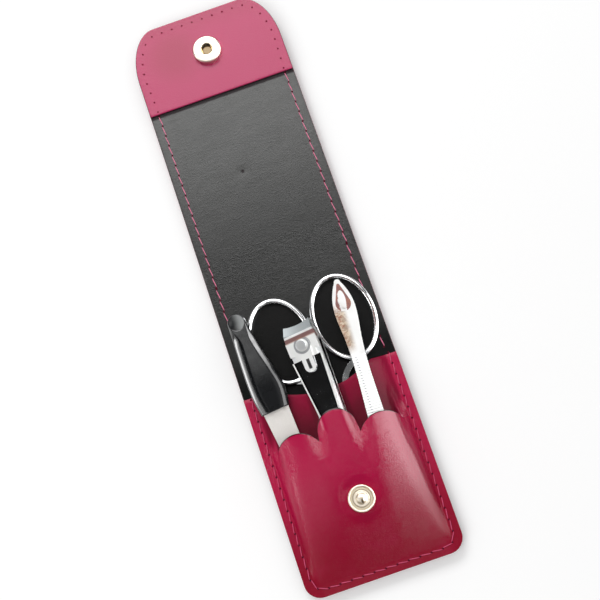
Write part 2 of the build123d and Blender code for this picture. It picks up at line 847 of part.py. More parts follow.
with BuildPart() as tweezers_lower_arm:
    add(tweezers_arm(-1, inner_line + leaf_line + outer_line).part)
    with BuildSketch(tweezers_plane.offset(tweezer_thickness - recess_depth)):
        with Locations((0, recess_at)):
            Circle(leaf_half - recess_border)
        with Locations((0, leaf_end - recess_border)):
            Circle(leaf_end_radius / 2)
        make_hull()
        with Locations((0, spoon_at)):
            Ellipse(spoon_half, spoon_length / 2, mode=Mode.SUBTRACT)
    extrude(amount=recess_depth, mode=Mode.SUBTRACT)
finish(tweezers_lower_arm, "tweezers_lower_arm")
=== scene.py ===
import json
import math

import bmesh
import bpy
import numpy as np
from mathutils import Matrix, Quaternion, Vector

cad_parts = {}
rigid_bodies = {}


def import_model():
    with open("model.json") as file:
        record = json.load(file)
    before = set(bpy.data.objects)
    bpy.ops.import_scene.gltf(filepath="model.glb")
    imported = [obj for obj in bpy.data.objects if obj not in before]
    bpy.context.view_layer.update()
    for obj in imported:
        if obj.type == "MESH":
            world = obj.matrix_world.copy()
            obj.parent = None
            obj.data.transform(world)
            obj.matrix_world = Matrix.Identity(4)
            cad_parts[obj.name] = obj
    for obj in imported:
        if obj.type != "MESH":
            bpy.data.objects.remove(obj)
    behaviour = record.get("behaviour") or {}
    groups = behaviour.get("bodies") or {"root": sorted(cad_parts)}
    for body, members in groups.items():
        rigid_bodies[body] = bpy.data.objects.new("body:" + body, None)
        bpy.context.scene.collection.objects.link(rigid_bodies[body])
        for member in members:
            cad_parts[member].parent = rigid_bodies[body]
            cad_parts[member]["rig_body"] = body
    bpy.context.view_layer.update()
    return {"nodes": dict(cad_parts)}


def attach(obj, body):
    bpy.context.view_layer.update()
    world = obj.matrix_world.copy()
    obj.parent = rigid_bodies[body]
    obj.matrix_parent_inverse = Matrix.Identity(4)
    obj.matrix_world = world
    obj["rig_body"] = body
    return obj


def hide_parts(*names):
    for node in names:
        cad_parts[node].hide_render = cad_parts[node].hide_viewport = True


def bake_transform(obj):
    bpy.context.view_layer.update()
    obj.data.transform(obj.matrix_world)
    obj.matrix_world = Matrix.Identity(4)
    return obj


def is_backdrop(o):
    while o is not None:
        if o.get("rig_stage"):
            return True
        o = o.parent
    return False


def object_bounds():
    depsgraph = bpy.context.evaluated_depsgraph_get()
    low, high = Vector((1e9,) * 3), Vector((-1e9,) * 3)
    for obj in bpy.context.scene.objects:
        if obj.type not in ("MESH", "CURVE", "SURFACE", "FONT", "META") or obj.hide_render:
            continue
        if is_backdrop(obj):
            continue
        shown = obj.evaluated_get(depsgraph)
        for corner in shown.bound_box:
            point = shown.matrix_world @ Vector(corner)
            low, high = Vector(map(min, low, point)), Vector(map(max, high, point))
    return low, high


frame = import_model()
nodes = frame["nodes"]

# Sizes below are in millimetres, with y counted from the pocket's bottom edge, unless a line says otherwise
mm = 0.001
case = {
    "length": 232.51655,
    "half": 30.0,
    "back": 112.5,
    "spineEnd": 131.0,
    "flap": 101.5,
    "tilt": math.radians(0.67725),
    "inside": 2.0,
    "socket": (0.0, 215.6),
    "bottomCorner": 6.0,
    "flapCorner": (12.0, 20.5),
    "edgeRound": 0.22,
    "bend": 2.2,
}
case["spineMiddle"] = (case["back"] + case["spineEnd"]) / 2
case["flapTop"] = case["flap"] - case["flapCorner"][1]

camera = {
    "location": (0.00646975, -0.11504309, 0.44593647),
    "turn": (0.979277293570565, 0.11418848107378057, 0.023887954156641023, -0.16554859930963667),
    "lens": 72.0,
    "sensor": 36.0,
}
lensData = bpy.data.cameras.new("camera")
lensData.lens, lensData.sensor_width = camera["lens"], camera["sensor"]
lensData.clip_start, lensData.clip_end = 0.01, 20.0
lensObject = bpy.data.objects.new("camera", lensData)
bpy.context.scene.collection.objects.link(lensObject)
lensObject.rotation_mode = "QUATERNION"
lensObject.location = camera["location"]
lensObject.rotation_quaternion = Quaternion(camera["turn"])
bpy.context.scene.camera = lensObject
bpy.context.scene.view_settings.view_transform = "Standard"
print("stage: camera")


def smooth(low, high, value):
    # t * t * (3 - 2 t) with t = (value - low) / (high - low) held between 0 and 1
    t = np.clip((value - low) / (high - low), 0.0, 1.0)
    return t * t * (3.0 - 2.0 * t)


def toRow(points):
    # row frame metres = (x, y - length / 2, z) * mm
    return (points - np.array([0.0, case["length"] / 2, 0.0])) * mm


def makeObject(name, points, faces, materials, kinds=None, place=None, closed=True):
    # points in millimetres; place is the resting position kept for the materials, points if none is given
    mesh = bpy.data.meshes.new(name)
    mesh.from_pydata(toRow(points), [], faces)
    mesh.polygons.foreach_set("use_smooth", np.ones(len(mesh.polygons), bool))
    if kinds is not None:
        mesh.polygons.foreach_set("material_index", np.asarray(kinds, np.int32))
    kept = mesh.attributes.new("place", "FLOAT_VECTOR", "POINT")
    kept.data.foreach_set("vector", np.asarray(points if place is None else place, np.float32).ravel())
    if closed:
        work = bmesh.new()
        work.from_mesh(mesh)
        bmesh.ops.recalc_face_normals(work, faces=work.faces)
        work.to_mesh(mesh)
        work.free()
    thing = bpy.data.objects.new(name, mesh)
    bpy.context.scene.collection.objects.link(thing)
    for material in materials:
        mesh.materials.append(material)
    return thing


def keepMask(thing, name, values):
    # one number per point, read by the materials
    kept = thing.data.attributes.new(name, "FLOAT", "POINT")
    kept.data.foreach_set("value", np.asarray(values, np.float32).ravel())


def gridFaces(rows, cols, closed=False, start=0):
    # face (i, j) joins (i, j), (i, j + 1), (i + 1, j + 1), (i + 1, j)
    # closed joins the last column to the first
    i, j = np.meshgrid(np.arange(rows - 1), np.arange(cols if closed else cols - 1), indexing="ij")
    k = (j + 1) % cols
    quads = np.stack([i * cols + j, i * cols + k, (i + 1) * cols + k, (i + 1) * cols + j], axis=-1)
    return quads.reshape(-1, 4) + start


def modifier(thing, kind, **settings):
    made = thing.modifiers.new(kind.lower(), kind)
    for key, value in settings.items():
        setattr(made, key, value)
    return made


def toolSpace(x, y, z, yaw, pitch, roll=0.0):
    # columns: across, along, up; along = Rz(yaw) Rx(pitch) y, across = turned by -roll about along
    turned = Matrix.Rotation(math.radians(yaw), 3, "Z")
    along = turned @ Matrix.Rotation(math.radians(pitch), 3, "X") @ Vector((0, 1, 0))
    across = Matrix.Rotation(math.radians(-roll), 3, along) @ turned @ Vector((1, 0, 0))
    up = across.cross(along)
    return {"origin": np.array([x, y, z]), "axes": np.array([across, along, up])}


def intoTool(points, space):
    # tool coordinates = (point - origin) . each axis
    return (points - space["origin"]) @ space["axes"].T


def fromTool(points, space):
    return points @ space["axes"] + space["origin"]


def setInputs(tree, node, values):
    # sockets are linked, anything else is set
    for key, value in values.items():
        if isinstance(value, bpy.types.NodeSocket):
            tree.links.new(value, node.inputs[key])
        else:
            node.inputs[key].default_value = value


def add(tree, kind, inputs=None, **settings):
    node = tree.nodes.new("ShaderNode" + kind)
    for key, value in settings.items():
        setattr(node, key, value)
    setInputs(tree, node, inputs or {})
    return node


def maths(tree, operation, *values):
    return add(tree, "Math", dict(enumerate(values)), operation=operation).outputs[0]


def product(tree, first, *others):
    for other in others:
        first = maths(tree, "MULTIPLY", first, other)
    return first


def vectorMaths(tree, operation, *values):
    # lengths, distances and dot products come out as a number, the rest as a vector
    node = add(tree, "VectorMath", dict(enumerate(values)), operation=operation)
    return node.outputs["Value" if operation in ("LENGTH", "DISTANCE", "DOT_PRODUCT") else "Vector"]


def ramp(tree, value, low, high, start=0.0, end=1.0):
    # start below low, end above high, smoothstep between
    inputs = {"Value": value, "From Min": low, "From Max": high, "To Min": start, "To Max": end}
    return add(tree, "MapRange", inputs, interpolation_type="SMOOTHSTEP").outputs["Result"]


def band(tree, value, rise, fall):
    # 1 between a ramp up and a ramp down, each given by its two ends
    return product(tree, ramp(tree, value, *rise), ramp(tree, value, *fall))


def mixColour(tree, factor, first, second):
    return add(tree, "Mix", {0: factor, 6: first, 7: second}, data_type="RGBA").outputs[2]


def mixFloat(tree, factor, first, second):
    return add(tree, "Mix", {0: factor, 2: first, 3: second}).outputs[0]


def noise(tree, place, scale, detail=3.0, rough=0.5, warp=0.0):
    inputs = {"Vector": place, "Scale": scale, "Detail": detail, "Roughness": rough, "Distortion": warp}
    return add(tree, "TexNoise", inputs).outputs["Fac"]


def linear(red, green, blue):
    # each channel from 0-255 display value to scene value: ((c + 0.055) / 1.055) ** 2.4
    channels = [c / 255.0 for c in (red, green, blue)]
    return tuple(c / 12.92 if c <= 0.04045 else ((c + 0.055) / 1.055) ** 2.4 for c in channels) + (1.0,)


def placeOf(tree):
    return add(tree, "Attribute", attribute_name="place").outputs["Vector"]


def maskOf(tree, name):
    return add(tree, "Attribute", attribute_name=name).outputs["Fac"]


def axesOf(tree, vector):
    return add(tree, "SeparateXYZ", {0: vector}).outputs


def flatPoint(tree, x, y):
    return add(tree, "CombineXYZ", {0: x, 1: y}).outputs[0]


def stretched(tree, place, factors, turn=0.0):
    inputs = {"Vector": place, "Scale": factors, "Rotation": (0.0, 0.0, turn)}
    return add(tree, "Mapping", inputs).outputs["Vector"]


def bumped(tree, height, strength, distance):
    return add(tree, "Bump", {"Strength": strength, "Distance": distance, "Height": height}).outputs["Normal"]


def groupOf(name, inputs, outputs):
    # an empty group with float or vector sockets, each given as (name, kind, value)
    tree = bpy.data.node_groups.new(name, "ShaderNodeTree")
    for label, kind, value in inputs:
        socket = tree.interface.new_socket(label, in_out="INPUT", socket_type="NodeSocket" + kind)
        if value is not None:
            socket.default_value = value
    for label, kind in outputs:
        tree.interface.new_socket(label, in_out="OUTPUT", socket_type="NodeSocket" + kind)
    return tree, tree.nodes.new("NodeGroupInput").outputs, tree.nodes.new("NodeGroupOutput").inputs


def newMaterial(name, colour, settings):
    # a Principled material; the values may be sockets
    material = bpy.data.materials.new(name)
    material.use_nodes = True
    tree = material.node_tree
    tree.nodes.clear()
    shader = tree.nodes.new("ShaderNodeBsdfPrincipled")
    output = tree.nodes.new("ShaderNodeOutputMaterial")
    tree.links.new(shader.outputs[0], output.inputs["Surface"])
    setInputs(tree, shader, {"Base Color": colour, **settings})
    return material, tree, shader


# Grain of dressed leather: small pores, plus creases where the mask asks for them
grainShape = {
    "fine": (2.6, 4.0, 0.6),
    "fineShare": 0.6,
    "poreShare": 0.35,
    "fold": (0.55, 5.0, 0.62, 1.4),
    "foldStretch": ((0.5, 1.5, 1.0), 0.5),
    "foldShare": 22.0,
    "patch": (0.07, 3.0, 0.55),
}
grain, grainIn, grainOut = groupOf(
    "leatherGrain",
    [("Place", "Vector", None), ("Pore Size", "Float", 0.6), ("Creases", "Float", 0.0)],
    [("Height", "Float"), ("Patches", "Float")],
)
poreScale = maths(grain, "DIVIDE", 1.0, grainIn["Pore Size"])
cells = add(grain, "TexVoronoi", {"Vector": grainIn["Place"], "Scale": poreScale}, feature="SMOOTH_F1")
fineGrain = noise(grain, grainIn["Place"], *grainShape["fine"])
longFolds = noise(grain, stretched(grain, grainIn["Place"], *grainShape["foldStretch"]), *grainShape["fold"])
foldLines = maths(grain, "ABSOLUTE", maths(grain, "SUBTRACT", longFolds, 0.5))
poreHeight = product(grain, cells.outputs["Distance"], grainShape["poreShare"])
grainHeight = maths(grain, "MULTIPLY_ADD", fineGrain, grainShape["fineShare"], poreHeight)
foldHeight = product(grain, foldLines, product(grain, grainIn["Creases"], grainShape["foldShare"]))
grain.links.new(maths(grain, "ADD", grainHeight, foldHeight), grainOut["Height"])
grain.links.new(noise(grain, grainIn["Place"], *grainShape["patch"]), grainOut["Patches"])

# Handling marks on polished metal: faint smears and hairline scratches
markShape = {
    "smear": (0.22, 4.0, 0.6, 0.8),
    "smearRange": (0.4, 0.75),
    "hairline": (1.3, 2.0),
    "hairlineStretch": ((9.0, 0.35, 1.0), 0.35),
}
marks, marksIn, marksOut = groupOf(
    "metalMarks",
    [("Place", "Vector", None), ("Clean", "Float", 0.05), ("Worn", "Float", 0.2)],
    [("Roughness", "Float"), ("Height", "Float")],
)
smearMix = add(marks, "MapRange", {
    "Value": noise(marks, marksIn["Place"], *markShape["smear"]),
    "From Min": markShape["smearRange"][0],
    "From Max": markShape["smearRange"][1],
    "To Min": marksIn["Clean"],
    "To Max": marksIn["Worn"],
})
combed = stretched(marks, marksIn["Place"], *markShape["hairlineStretch"])
hairlines = noise(marks, combed, *markShape["hairline"])
marks.links.new(smearMix.outputs["Result"], marksOut["Roughness"])
marks.links.new(hairlines, marksOut["Height"])


def grainOn(tree, place, pore, creases):
    inputs = {"Place": place, "Pore Size": pore, "Creases": creases}
    return add(tree, "Group", inputs, node_tree=grain).outputs


def marksOn(tree, place, clean, worn):
    inputs = {"Place": place, "Clean": clean, "Worn": worn}
    return add(tree, "Group", inputs, node_tree=marks).outputs


def patchy(tree, share, made):
    # share (patches - 1/2)
    return maths(tree, "MULTIPLY_ADD", made["Patches"], share, -share / 2)


finish = {
    "crimson": linear(176, 18, 68),
    "crimsonDark": linear(138, 8, 38),
    "crimsonShadow": linear(112, 24, 44),
    "crimsonPale": linear(186, 40, 86),
    # the facing is the case's own leather: its pinker, lighter colour is a painted reflection
    "facing": linear(168, 32, 84),
    "facingDark": linear(154, 22, 68),
    "cutEdge": linear(52, 16, 26),
    "suede": linear(66, 22, 34),
    "lining": linear(18, 18, 17),
    "liningSheen": linear(34, 34, 32),
    "thread": linear(206, 84, 120),
    "liningThread": linear(226, 128, 158),
    "hole": linear(78, 8, 30),
    "facingHole": linear(112, 14, 44),
    "steel": (0.86, 0.87, 0.88, 1.0),
    "steelBright": (0.84, 0.84, 0.83, 1.0),
    "steelDark": linear(120, 122, 126),
    "shadeDark": linear(40, 34, 36),
    "jawShade": linear(128, 78, 74),
    "jawBevel": linear(176, 182, 184),
    "jawHighlight": (0.97, 0.97, 0.96, 1.0),
    "warmShade": linear(146, 116, 90),
    "warmLight": linear(206, 186, 158),
    "brownReflection": linear(156, 98, 78),
    "nickel": linear(196, 184, 162),
    "nickelPale": linear(226, 216, 200),
    "nickelDark": linear(150, 138, 118),
    "nickelDarker": linear(96, 84, 66),
    "brassDark": linear(150, 112, 60),
    "brass": (0.74, 0.56, 0.30, 1.0),
    "fileSteel": linear(214, 210, 206),
    "fileCut": linear(120, 116, 112),
    "plastic": linear(14, 15, 17),
    "plasticSheen": linear(150, 152, 152),
    "liningShade": linear(10, 10, 10),
}

# In the looks below a ramp is its two ends, or its ends and the values there, and a band is two ramps
# A noise is scale, detail, roughness and warp, a stretch is factors and turn, a bump is strength and distance
# Marks are the roughness where clean and where worn
leatherLook = {
    "surface": {"Specular IOR Level": 0.03, "Coat Weight": 0.6, "Coat Roughness": 0.13},
    "pore": 0.55,
    "creases": 0.12,
    "bump": (0.22, 0.0002),
    "darkBelow": (50.0, 6.0),
    "patchShare": 0.5,
    "pale": (0.52, 0.75, 0.0, 0.15),
    "roughness": (0.3, 0.7, 0.26, 0.38),
}
pocketLook = {
    "foldsAt": ((-24.0, 50.0, 12.0), (-7.5, 51.0, 8.0), (7.7, 50.0, 6.0)),
    "lip": (0.35, 0.75),
    "sideGloss": (22.6, 25.4, 0.72, 0.36),
    "columnAt": 15.0,
    "column": (8.0, 3.0),
    "columnGloss": (4.0, 14.0, 0.0, 0.3),
    "footGloss": (14.0, 34.0, 0.6, 1.0),
    "stud": (0.0, 28.4, 0.0),
    "studGloss": (7.0, 13.0, 0.35, 1.0),
    "bandShadeGloss": (0.0, 0.6, 1.0, 0.12),
}


def pocketGloss(tree, axes, bandShade):
    # duller at the sides, low down, round the stud and inside the pocket, glossier along one column
    gloss = ramp(tree, maths(tree, "ABSOLUTE", axes[0]), *pocketLook["sideGloss"])
    column = maths(tree, "ABSOLUTE", maths(tree, "SUBTRACT", axes[0], pocketLook["columnAt"]))
    column = ramp(tree, column, *pocketLook["column"])
    extra = product(tree, column, ramp(tree, axes[1], *pocketLook["columnGloss"]))
    gloss = maths(tree, "ADD", gloss, extra)
    fromStud = vectorMaths(tree, "DISTANCE", flatPoint(tree, axes[0], axes[1]), pocketLook["stud"])
    return product(
        tree, gloss, ramp(tree, axes[1], *pocketLook["footGloss"]),
        ramp(tree, fromStud, *pocketLook["studGloss"]), ramp(tree, bandShade, *pocketLook["bandShadeGloss"]),
    )


def leatherMaterial(name, isPocket):
    material, tree, shader = newMaterial(name, finish["crimson"], leatherLook["surface"])
    place = placeOf(tree)
    axes = axesOf(tree, place)
    creases = leatherLook["creases"]
    # folds gather round these points
    for x, y, reach in pocketLook["foldsAt"] if isPocket else ():
        away = vectorMaths(tree, "DISTANCE", flatPoint(tree, axes[0], axes[1]), (x, y, 0.0))
        creases = maths(tree, "MAXIMUM", creases, ramp(tree, away, 0.0, reach, 1.0, 0.0))
    made = grainOn(tree, place, leatherLook["pore"], creases)
    normal = bumped(tree, made["Height"], *leatherLook["bump"])
    # painted shade: the leather darkens towards its bottom edge, mixed with random patches of tone
    lower = ramp(tree, axes[1], *leatherLook["darkBelow"])
    lower = maths(tree, "ADD", lower, patchy(tree, leatherLook["patchShare"], made))
    shade = mixColour(tree, lower, finish["crimson"], finish["crimsonDark"])
    shade = mixColour(tree, ramp(tree, made["Patches"], *leatherLook["pale"]), shade, finish["crimsonPale"])
    if isPocket:
        lip = ramp(tree, maskOf(tree, "lip"), *pocketLook["lip"])
        shade = mixColour(tree, lip, shade, finish["cutEdge"])
        # painted shade on the band inside the pocket, behind the tools
        bandShade = maskOf(tree, "bandShade")
        shade = mixColour(tree, bandShade, shade, finish["crimsonShadow"])
        setInputs(tree, shader, {"Coat Weight": pocketGloss(tree, axes, bandShade)})
    setInputs(tree, shader, {
        "Base Color": shade,
        "Normal": normal,
        "Coat Normal": normal,
        "Roughness": ramp(tree, made["Patches"], *leatherLook["roughness"]),
    })
    return material


def plainMaterial(name, colour, roughness, bumpScale=3.0, strength=0.2, specular=0.5):
    surface = {"Roughness": roughness, "Specular IOR Level": specular}
    material, tree, shader = newMaterial(name, colour, surface)
    height = noise(tree, placeOf(tree), bumpScale, 4.0, 0.6)
    setInputs(tree, shader, {"Normal": bumped(tree, height, strength, 0.0001)})
    return material


liningLook = {
    "surface": {"Roughness": 0.38, "Specular IOR Level": 0.04, "Coat Weight": 0.45, "Coat Roughness": 0.28},
    "fold": ((108.0, 116.0), (136.0, 126.0)),
    "pore": 0.5,
    "creases": (0.8, 0.06),
    "bump": (0.3, 0.0002),
    "sheenAbove": (118.0, 200.0),
    "patchShare": 0.16,
    "sheenShare": 0.9,
    "facingShadow": (194.9, 195.8),
    "facingShadowShare": 0.92,
    "dent": (-2.3, 163.3, 2.4),
    "dentShade": (0.95, 0.45, 0.0, 0.85),
    "besideTools": (96.0, 80.0, 0.0, 0.85),
    # the scissors' rings: centre, then half width and half height
    "rings": ((-9.35, 93.5, 10.9, 15.8), (15.6, 94.5, 11.0, 16.0)),
    "ringShade": (1.03, 0.93, 0.0, 0.8),
    "gloss": (90.0, 185.0, 0.05, 0.66),
    "leastGloss": 0.33,
    "streakStretch": ((0.1, 0.3, 1.0), 0.12),
    "streak": (1.0, 6.0, 0.7),
    "streakGloss": (0.3, 0.7, 0.93, 1.07),
}


def liningMaterial():
    look = liningLook
    material, tree, shader = newMaterial("liningLeather", finish["lining"], look["surface"])
    place = placeOf(tree)
    axes = axesOf(tree, place)
    creases = maths(tree, "MULTIPLY_ADD", band(tree, axes[1], *look["fold"]), *look["creases"])
    made = grainOn(tree, place, look["pore"], creases)
    normal = bumped(tree, made["Height"], *look["bump"])
    # painted sheen: the lining turns greyer towards the flap, mixed with random patches
    flapSheenAndPatches = ramp(tree, axes[1], *look["sheenAbove"])
    flapSheenAndPatches = maths(tree, "ADD", flapSheenAndPatches, patchy(tree, look["patchShare"], made))
    flapSheenAndPatches = product(tree, flapSheenAndPatches, look["sheenShare"])
    shade = mixColour(tree, flapSheenAndPatches, finish["lining"], finish["liningSheen"])
    # painted shadow along the lining under the facing's edge; the dent is darker too
    facingShadowAndDent = product(tree, ramp(tree, axes[1], *look["facingShadow"]), look["facingShadowShare"])
    dent = vectorMaths(tree, "DISTANCE", place, look["dent"])
    facingShadowAndDent = maths(tree, "MAXIMUM", facingShadowAndDent, ramp(tree, dent, *look["dentShade"]))
    shade = mixColour(tree, facingShadowAndDent, shade, finish["shadeDark"])
    # painted shade on the leather inside the scissors' rings and beside the tools, which is also less shiny
    paintedToolShade = ramp(tree, axes[1], *look["besideTools"])
    for x, y, wide, high in look["rings"]:
        inRing = vectorMaths(tree, "SUBTRACT", place, (x, y, 0.0))
        inRing = vectorMaths(tree, "MULTIPLY", inRing, (1 / wide, 1 / high, 0.0))
        inRing = ramp(tree, vectorMaths(tree, "LENGTH", inRing), *look["ringShade"])
        paintedToolShade = maths(tree, "MAXIMUM", paintedToolShade, inRing)
    shade = mixColour(tree, paintedToolShade, shade, finish["liningShade"])
    streaks = noise(tree, stretched(tree, place, *look["streakStretch"]), *look["streak"])
    gloss = product(
        tree, maths(tree, "ADD", ramp(tree, axes[1], *look["gloss"]), look["leastGloss"]),
        maths(tree, "SUBTRACT", 1.0, paintedToolShade), maths(tree, "SUBTRACT", 1.0, facingShadowAndDent),
        ramp(tree, streaks, *look["streakGloss"]),
    )
    setInputs(tree, shader, {"Base Color": shade, "Coat Weight": gloss})
    setInputs(tree, shader, {"Normal": normal, "Coat Normal": normal})
    return material


facingLook = {
    "surface": {"Roughness": 0.36, "Specular IOR Level": 0.25, "Coat Weight": 0.5, "Coat Roughness": 0.24},
    "pore": 0.5,
    "creases": 0.05,
    "bump": (0.2, 0.0002),
    "darkSpot": (-13.0, 219.0, 3.6),
    "darkSpotReach": (16.0, 3.0),
    "darkSpotShare": 0.9,
    "darkAbove": (222.0, 233.0, 0.0, 0.6),
}


def facingMaterial():
    # painted reflection: the facing is pinker and lighter than the rest of the case's leather
    look = facingLook
    material, tree, shader = newMaterial("facingLeather", finish["facing"], look["surface"])
    place = placeOf(tree)
    made = grainOn(tree, place, look["pore"], look["creases"])
    normal = bumped(tree, made["Height"], *look["bump"])
    # a darker spot near the flap's left, and darker towards the flap's end
    fromDarkSpot = vectorMaths(tree, "DISTANCE", place, look["darkSpot"])
    darkSpot = product(tree, ramp(tree, fromDarkSpot, *look["darkSpotReach"]), look["darkSpotShare"])
    dark = maths(tree, "MAXIMUM", darkSpot, ramp(tree, axesOf(tree, place)[1], *look["darkAbove"]))
    shade = mixColour(tree, dark, finish["facing"], finish["facingDark"])
    setInputs(tree, shader, {"Base Color": shade, "Normal": normal, "Coat Normal": normal})
    return material


def metalMaterial(name, colour, clean, worn, strength=0.015):
    material, tree, shader = newMaterial(name, colour, {"Metallic": 1.0})
    made = marksOn(tree, placeOf(tree), clean, worn)
    normal = bumped(tree, made["Height"], strength, 0.00005)
    setInputs(tree, shader, {"Roughness": made["Roughness"], "Normal": normal})
    return material


ringEdge = 0.15


def ringsMaterial(name, centre, bands, rough):
    # metal whose colour changes in rings about one point; on the stud the rings are painted highlights and
    # painted shade
    material, tree, shader = newMaterial(name, finish["nickel"], {"Metallic": 1.0})
    flat = vectorMaths(tree, "MULTIPLY", placeOf(tree), (1.0, 1.0, 0.0))
    away = vectorMaths(tree, "DISTANCE", flat, (*centre, 0.0))
    shade = bands[0][1]
    for reach, colour in bands[1:]:
        shade = mixColour(tree, ramp(tree, away, reach - ringEdge, reach + ringEdge), shade, colour)
    made = marksOn(tree, placeOf(tree), rough, rough + 0.08)
    setInputs(tree, shader, {"Base Color": shade, "Roughness": made["Roughness"]})
    return material, tree, shader, flat, shade


studLook = {
    "centre": (0.0, 28.4),
    # painted highlights on the rims as pale rings, painted shade in the groove as the dark ring
    "rings": (
        (0.0, "nickel"),
        (0.6, "nickelPale"),
        (1.5, "nickel"),
        (2.1, "nickelPale"),
        (2.95, "nickelDark"),
        (3.3, "nickel"),
        (4.2, "nickelPale"),
        (4.8, "nickel"),
    ),
    "rough": 0.42,
    "streakAt": (0.1, 27.3, 0.0),
    "streakStretch": ((1.9, 0.95, 1.0), 0.1),
    "streak": (1.1, 0.5),
}


def studMaterial():
    look = studLook
    bands = [(reach, finish[tone]) for reach, tone in look["rings"]]
    made = ringsMaterial("studNickel", look["centre"], bands, look["rough"])
    material, tree, shader, flat, shade = made
    # a darker streak across the stud's head
    streak = vectorMaths(tree, "SUBTRACT", flat, look["streakAt"])
    streak = vectorMaths(tree, "LENGTH", stretched(tree, streak, *look["streakStretch"]))
    shade = mixColour(tree, ramp(tree, streak, *look["streak"]), shade, finish["nickelDarker"])
    setInputs(tree, shader, {"Base Color": shade})
    return material


def socketMaterial():
    bands = ((0.0, finish["brassDark"]), (2.1, finish["nickelPale"]))
    return ringsMaterial("socketNickel", case["socket"], bands, 0.3)[0]


capLook = {"marks": (0.16, 0.24), "nickelDarker": (1.2, 1.6)}


def capMaterial():
    # bright outside the cover, darker where it shows through the socket's hole
    material, tree, shader = newMaterial("capNickel", finish["nickelPale"], {"Metallic": 1.0})
    place = placeOf(tree)
    made = marksOn(tree, place, *capLook["marks"])
    inside = ramp(tree, axesOf(tree, place)[2], *capLook["nickelDarker"])
    shade = mixColour(tree, inside, finish["nickelPale"], finish["nickelDarker"])
    setInputs(tree, shader, {"Base Color": shade, "Roughness": made["Roughness"]})
    return material


tweezersLook = {
    "marks": (0.3, 0.36),
    "ribs": ((29.2, 29.8), (54.6, 54.0)),
    "groove": (-0.1, -0.9),
    "grooveShare": 0.42,
    "toothAt": 1.1,
    "tooth": (0.5, 0.2),
    "toothShare": 0.85,
    "waist": ((55.0, 60.0), (76.0, 70.0)),
    "shadedSide": (0.9, -1.6),
    "shadedShare": 0.85,
    "recessDepth": (0.85, 0.65),
    "recessFrom": (67.0, 69.0),
    "recessShare": 0.92,
    "blotch": (0.6, 3.0, 0.6, 1.0),
    "warm": (0.35, 0.65),
    "brown": (0.45, 0.6),
    "ragged": (0.9, 4.0, 0.7),
    "raggedShift": (2.0, -0.65),
    "patchAt": 74.8,
    "patchHalf": (1.3, 4.4),
    "patch": (1.1, 0.9, 0.0, 0.95),
    "edgeSide": (-1.3, -2.1),
    "edgeSpan": ((56.0, 60.0), (76.0, 70.0)),
    "edgeStretch": (0.4, 1.0, 1.0),
    "edgeNoise": (2.2, 2.0),
    "leftEdgeReflection": (0.45, 0.6),
    "edgeShare": 0.7,
    "ribRoughness": 0.5,
    "bump": (0.01, 0.0001),
}


def spoonShade(tree, place, across, along, blotch):
    # painted brown reflection, with a ragged painted highlight along the spoon
    look = tweezersLook
    brown = mixColour(tree, ramp(tree, blotch, *look["brown"]), finish["jawShade"], finish["brownReflection"])
    ragged = maths(tree, "MULTIPLY_ADD", noise(tree, place, *look["ragged"]), *look["raggedShift"])
    wide, long = look["patchHalf"]
    x = maths(tree, "DIVIDE", maths(tree, "ADD", across, ragged), wide)
    y = maths(tree, "DIVIDE", maths(tree, "SUBTRACT", along, look["patchAt"]), long)
    patch = ramp(tree, vectorMaths(tree, "LENGTH", flatPoint(tree, x, y)), *look["patch"])
    return mixColour(tree, patch, brown, finish["steelBright"])


def tweezersMaterial():
    # ribbed grip with painted shade in its grooves, a waist with a painted warm shaded side, and a painted
    # brown reflection in the hollow round the spoon
    look = tweezersLook
    material, tree, shader = newMaterial("tweezersSteel", finish["steel"], {"Metallic": 1.0})
    place = placeOf(tree)
    made = marksOn(tree, place, *look["marks"])
    across, along, up = axesOf(tree, place)
    onRibs = band(tree, along, *look["ribs"])
    # one rib in each millimetre
    wave = maths(tree, "SINE", maths(tree, "MULTIPLY_ADD", along, 2 * math.pi, -math.pi / 2))
    # painted shade in the grooves between the ribs, darker still at their ends
    groove = product(tree, onRibs, ramp(tree, wave, *look["groove"]))
    fromTooth = maths(tree, "ABSOLUTE", maths(tree, "ADD", across, look["toothAt"]))
    tooth = product(tree, groove, ramp(tree, fromTooth, *look["tooth"]))
    shaded = product(tree, band(tree, along, *look["waist"]), ramp(tree, across, *look["shadedSide"]))
    # the hollow round the spoon, where the painted brown reflection lies
    brownReflection = product(tree, ramp(tree, up, *look["recessDepth"]), ramp(tree, along, *look["recessFrom"]))
    blotch = noise(tree, place, *look["blotch"])
    warm = mixColour(tree, ramp(tree, blotch, *look["warm"]), finish["warmShade"], finish["warmLight"])
    shade = mixColour(tree, product(tree, shaded, look["shadedShare"]), finish["steelBright"], warm)
    shade = mixColour(tree, product(tree, groove, look["grooveShare"]), shade, finish["steelDark"])
    shade = mixColour(tree, product(tree, tooth, look["toothShare"]), shade, finish["steelDark"])
    # painted brown reflection in specks along the left edge of the waist
    leftEdgeReflection = product(tree, ramp(tree, across, *look["edgeSide"]), band(tree, along, *look["edgeSpan"]))
    specks = noise(tree, stretched(tree, place, look["edgeStretch"]), *look["edgeNoise"])
    leftEdgeReflection = product(tree, leftEdgeReflection, ramp(tree, specks, *look["leftEdgeReflection"]), look["edgeShare"])
    shade = mixColour(tree, leftEdgeReflection, shade, finish["brownReflection"])
    brown = spoonShade(tree, place, across, along, blotch)
    shade = mixColour(tree, product(tree, brownReflection, look["recessShare"]), shade, brown)
    setInputs(tree, shader, {
        "Base Color": shade,
        "Roughness": mixFloat(tree, onRibs, made["Roughness"], look["ribRoughness"]),
        "Normal": bumped(tree, made["Height"], *look["bump"]),
    })
    return material


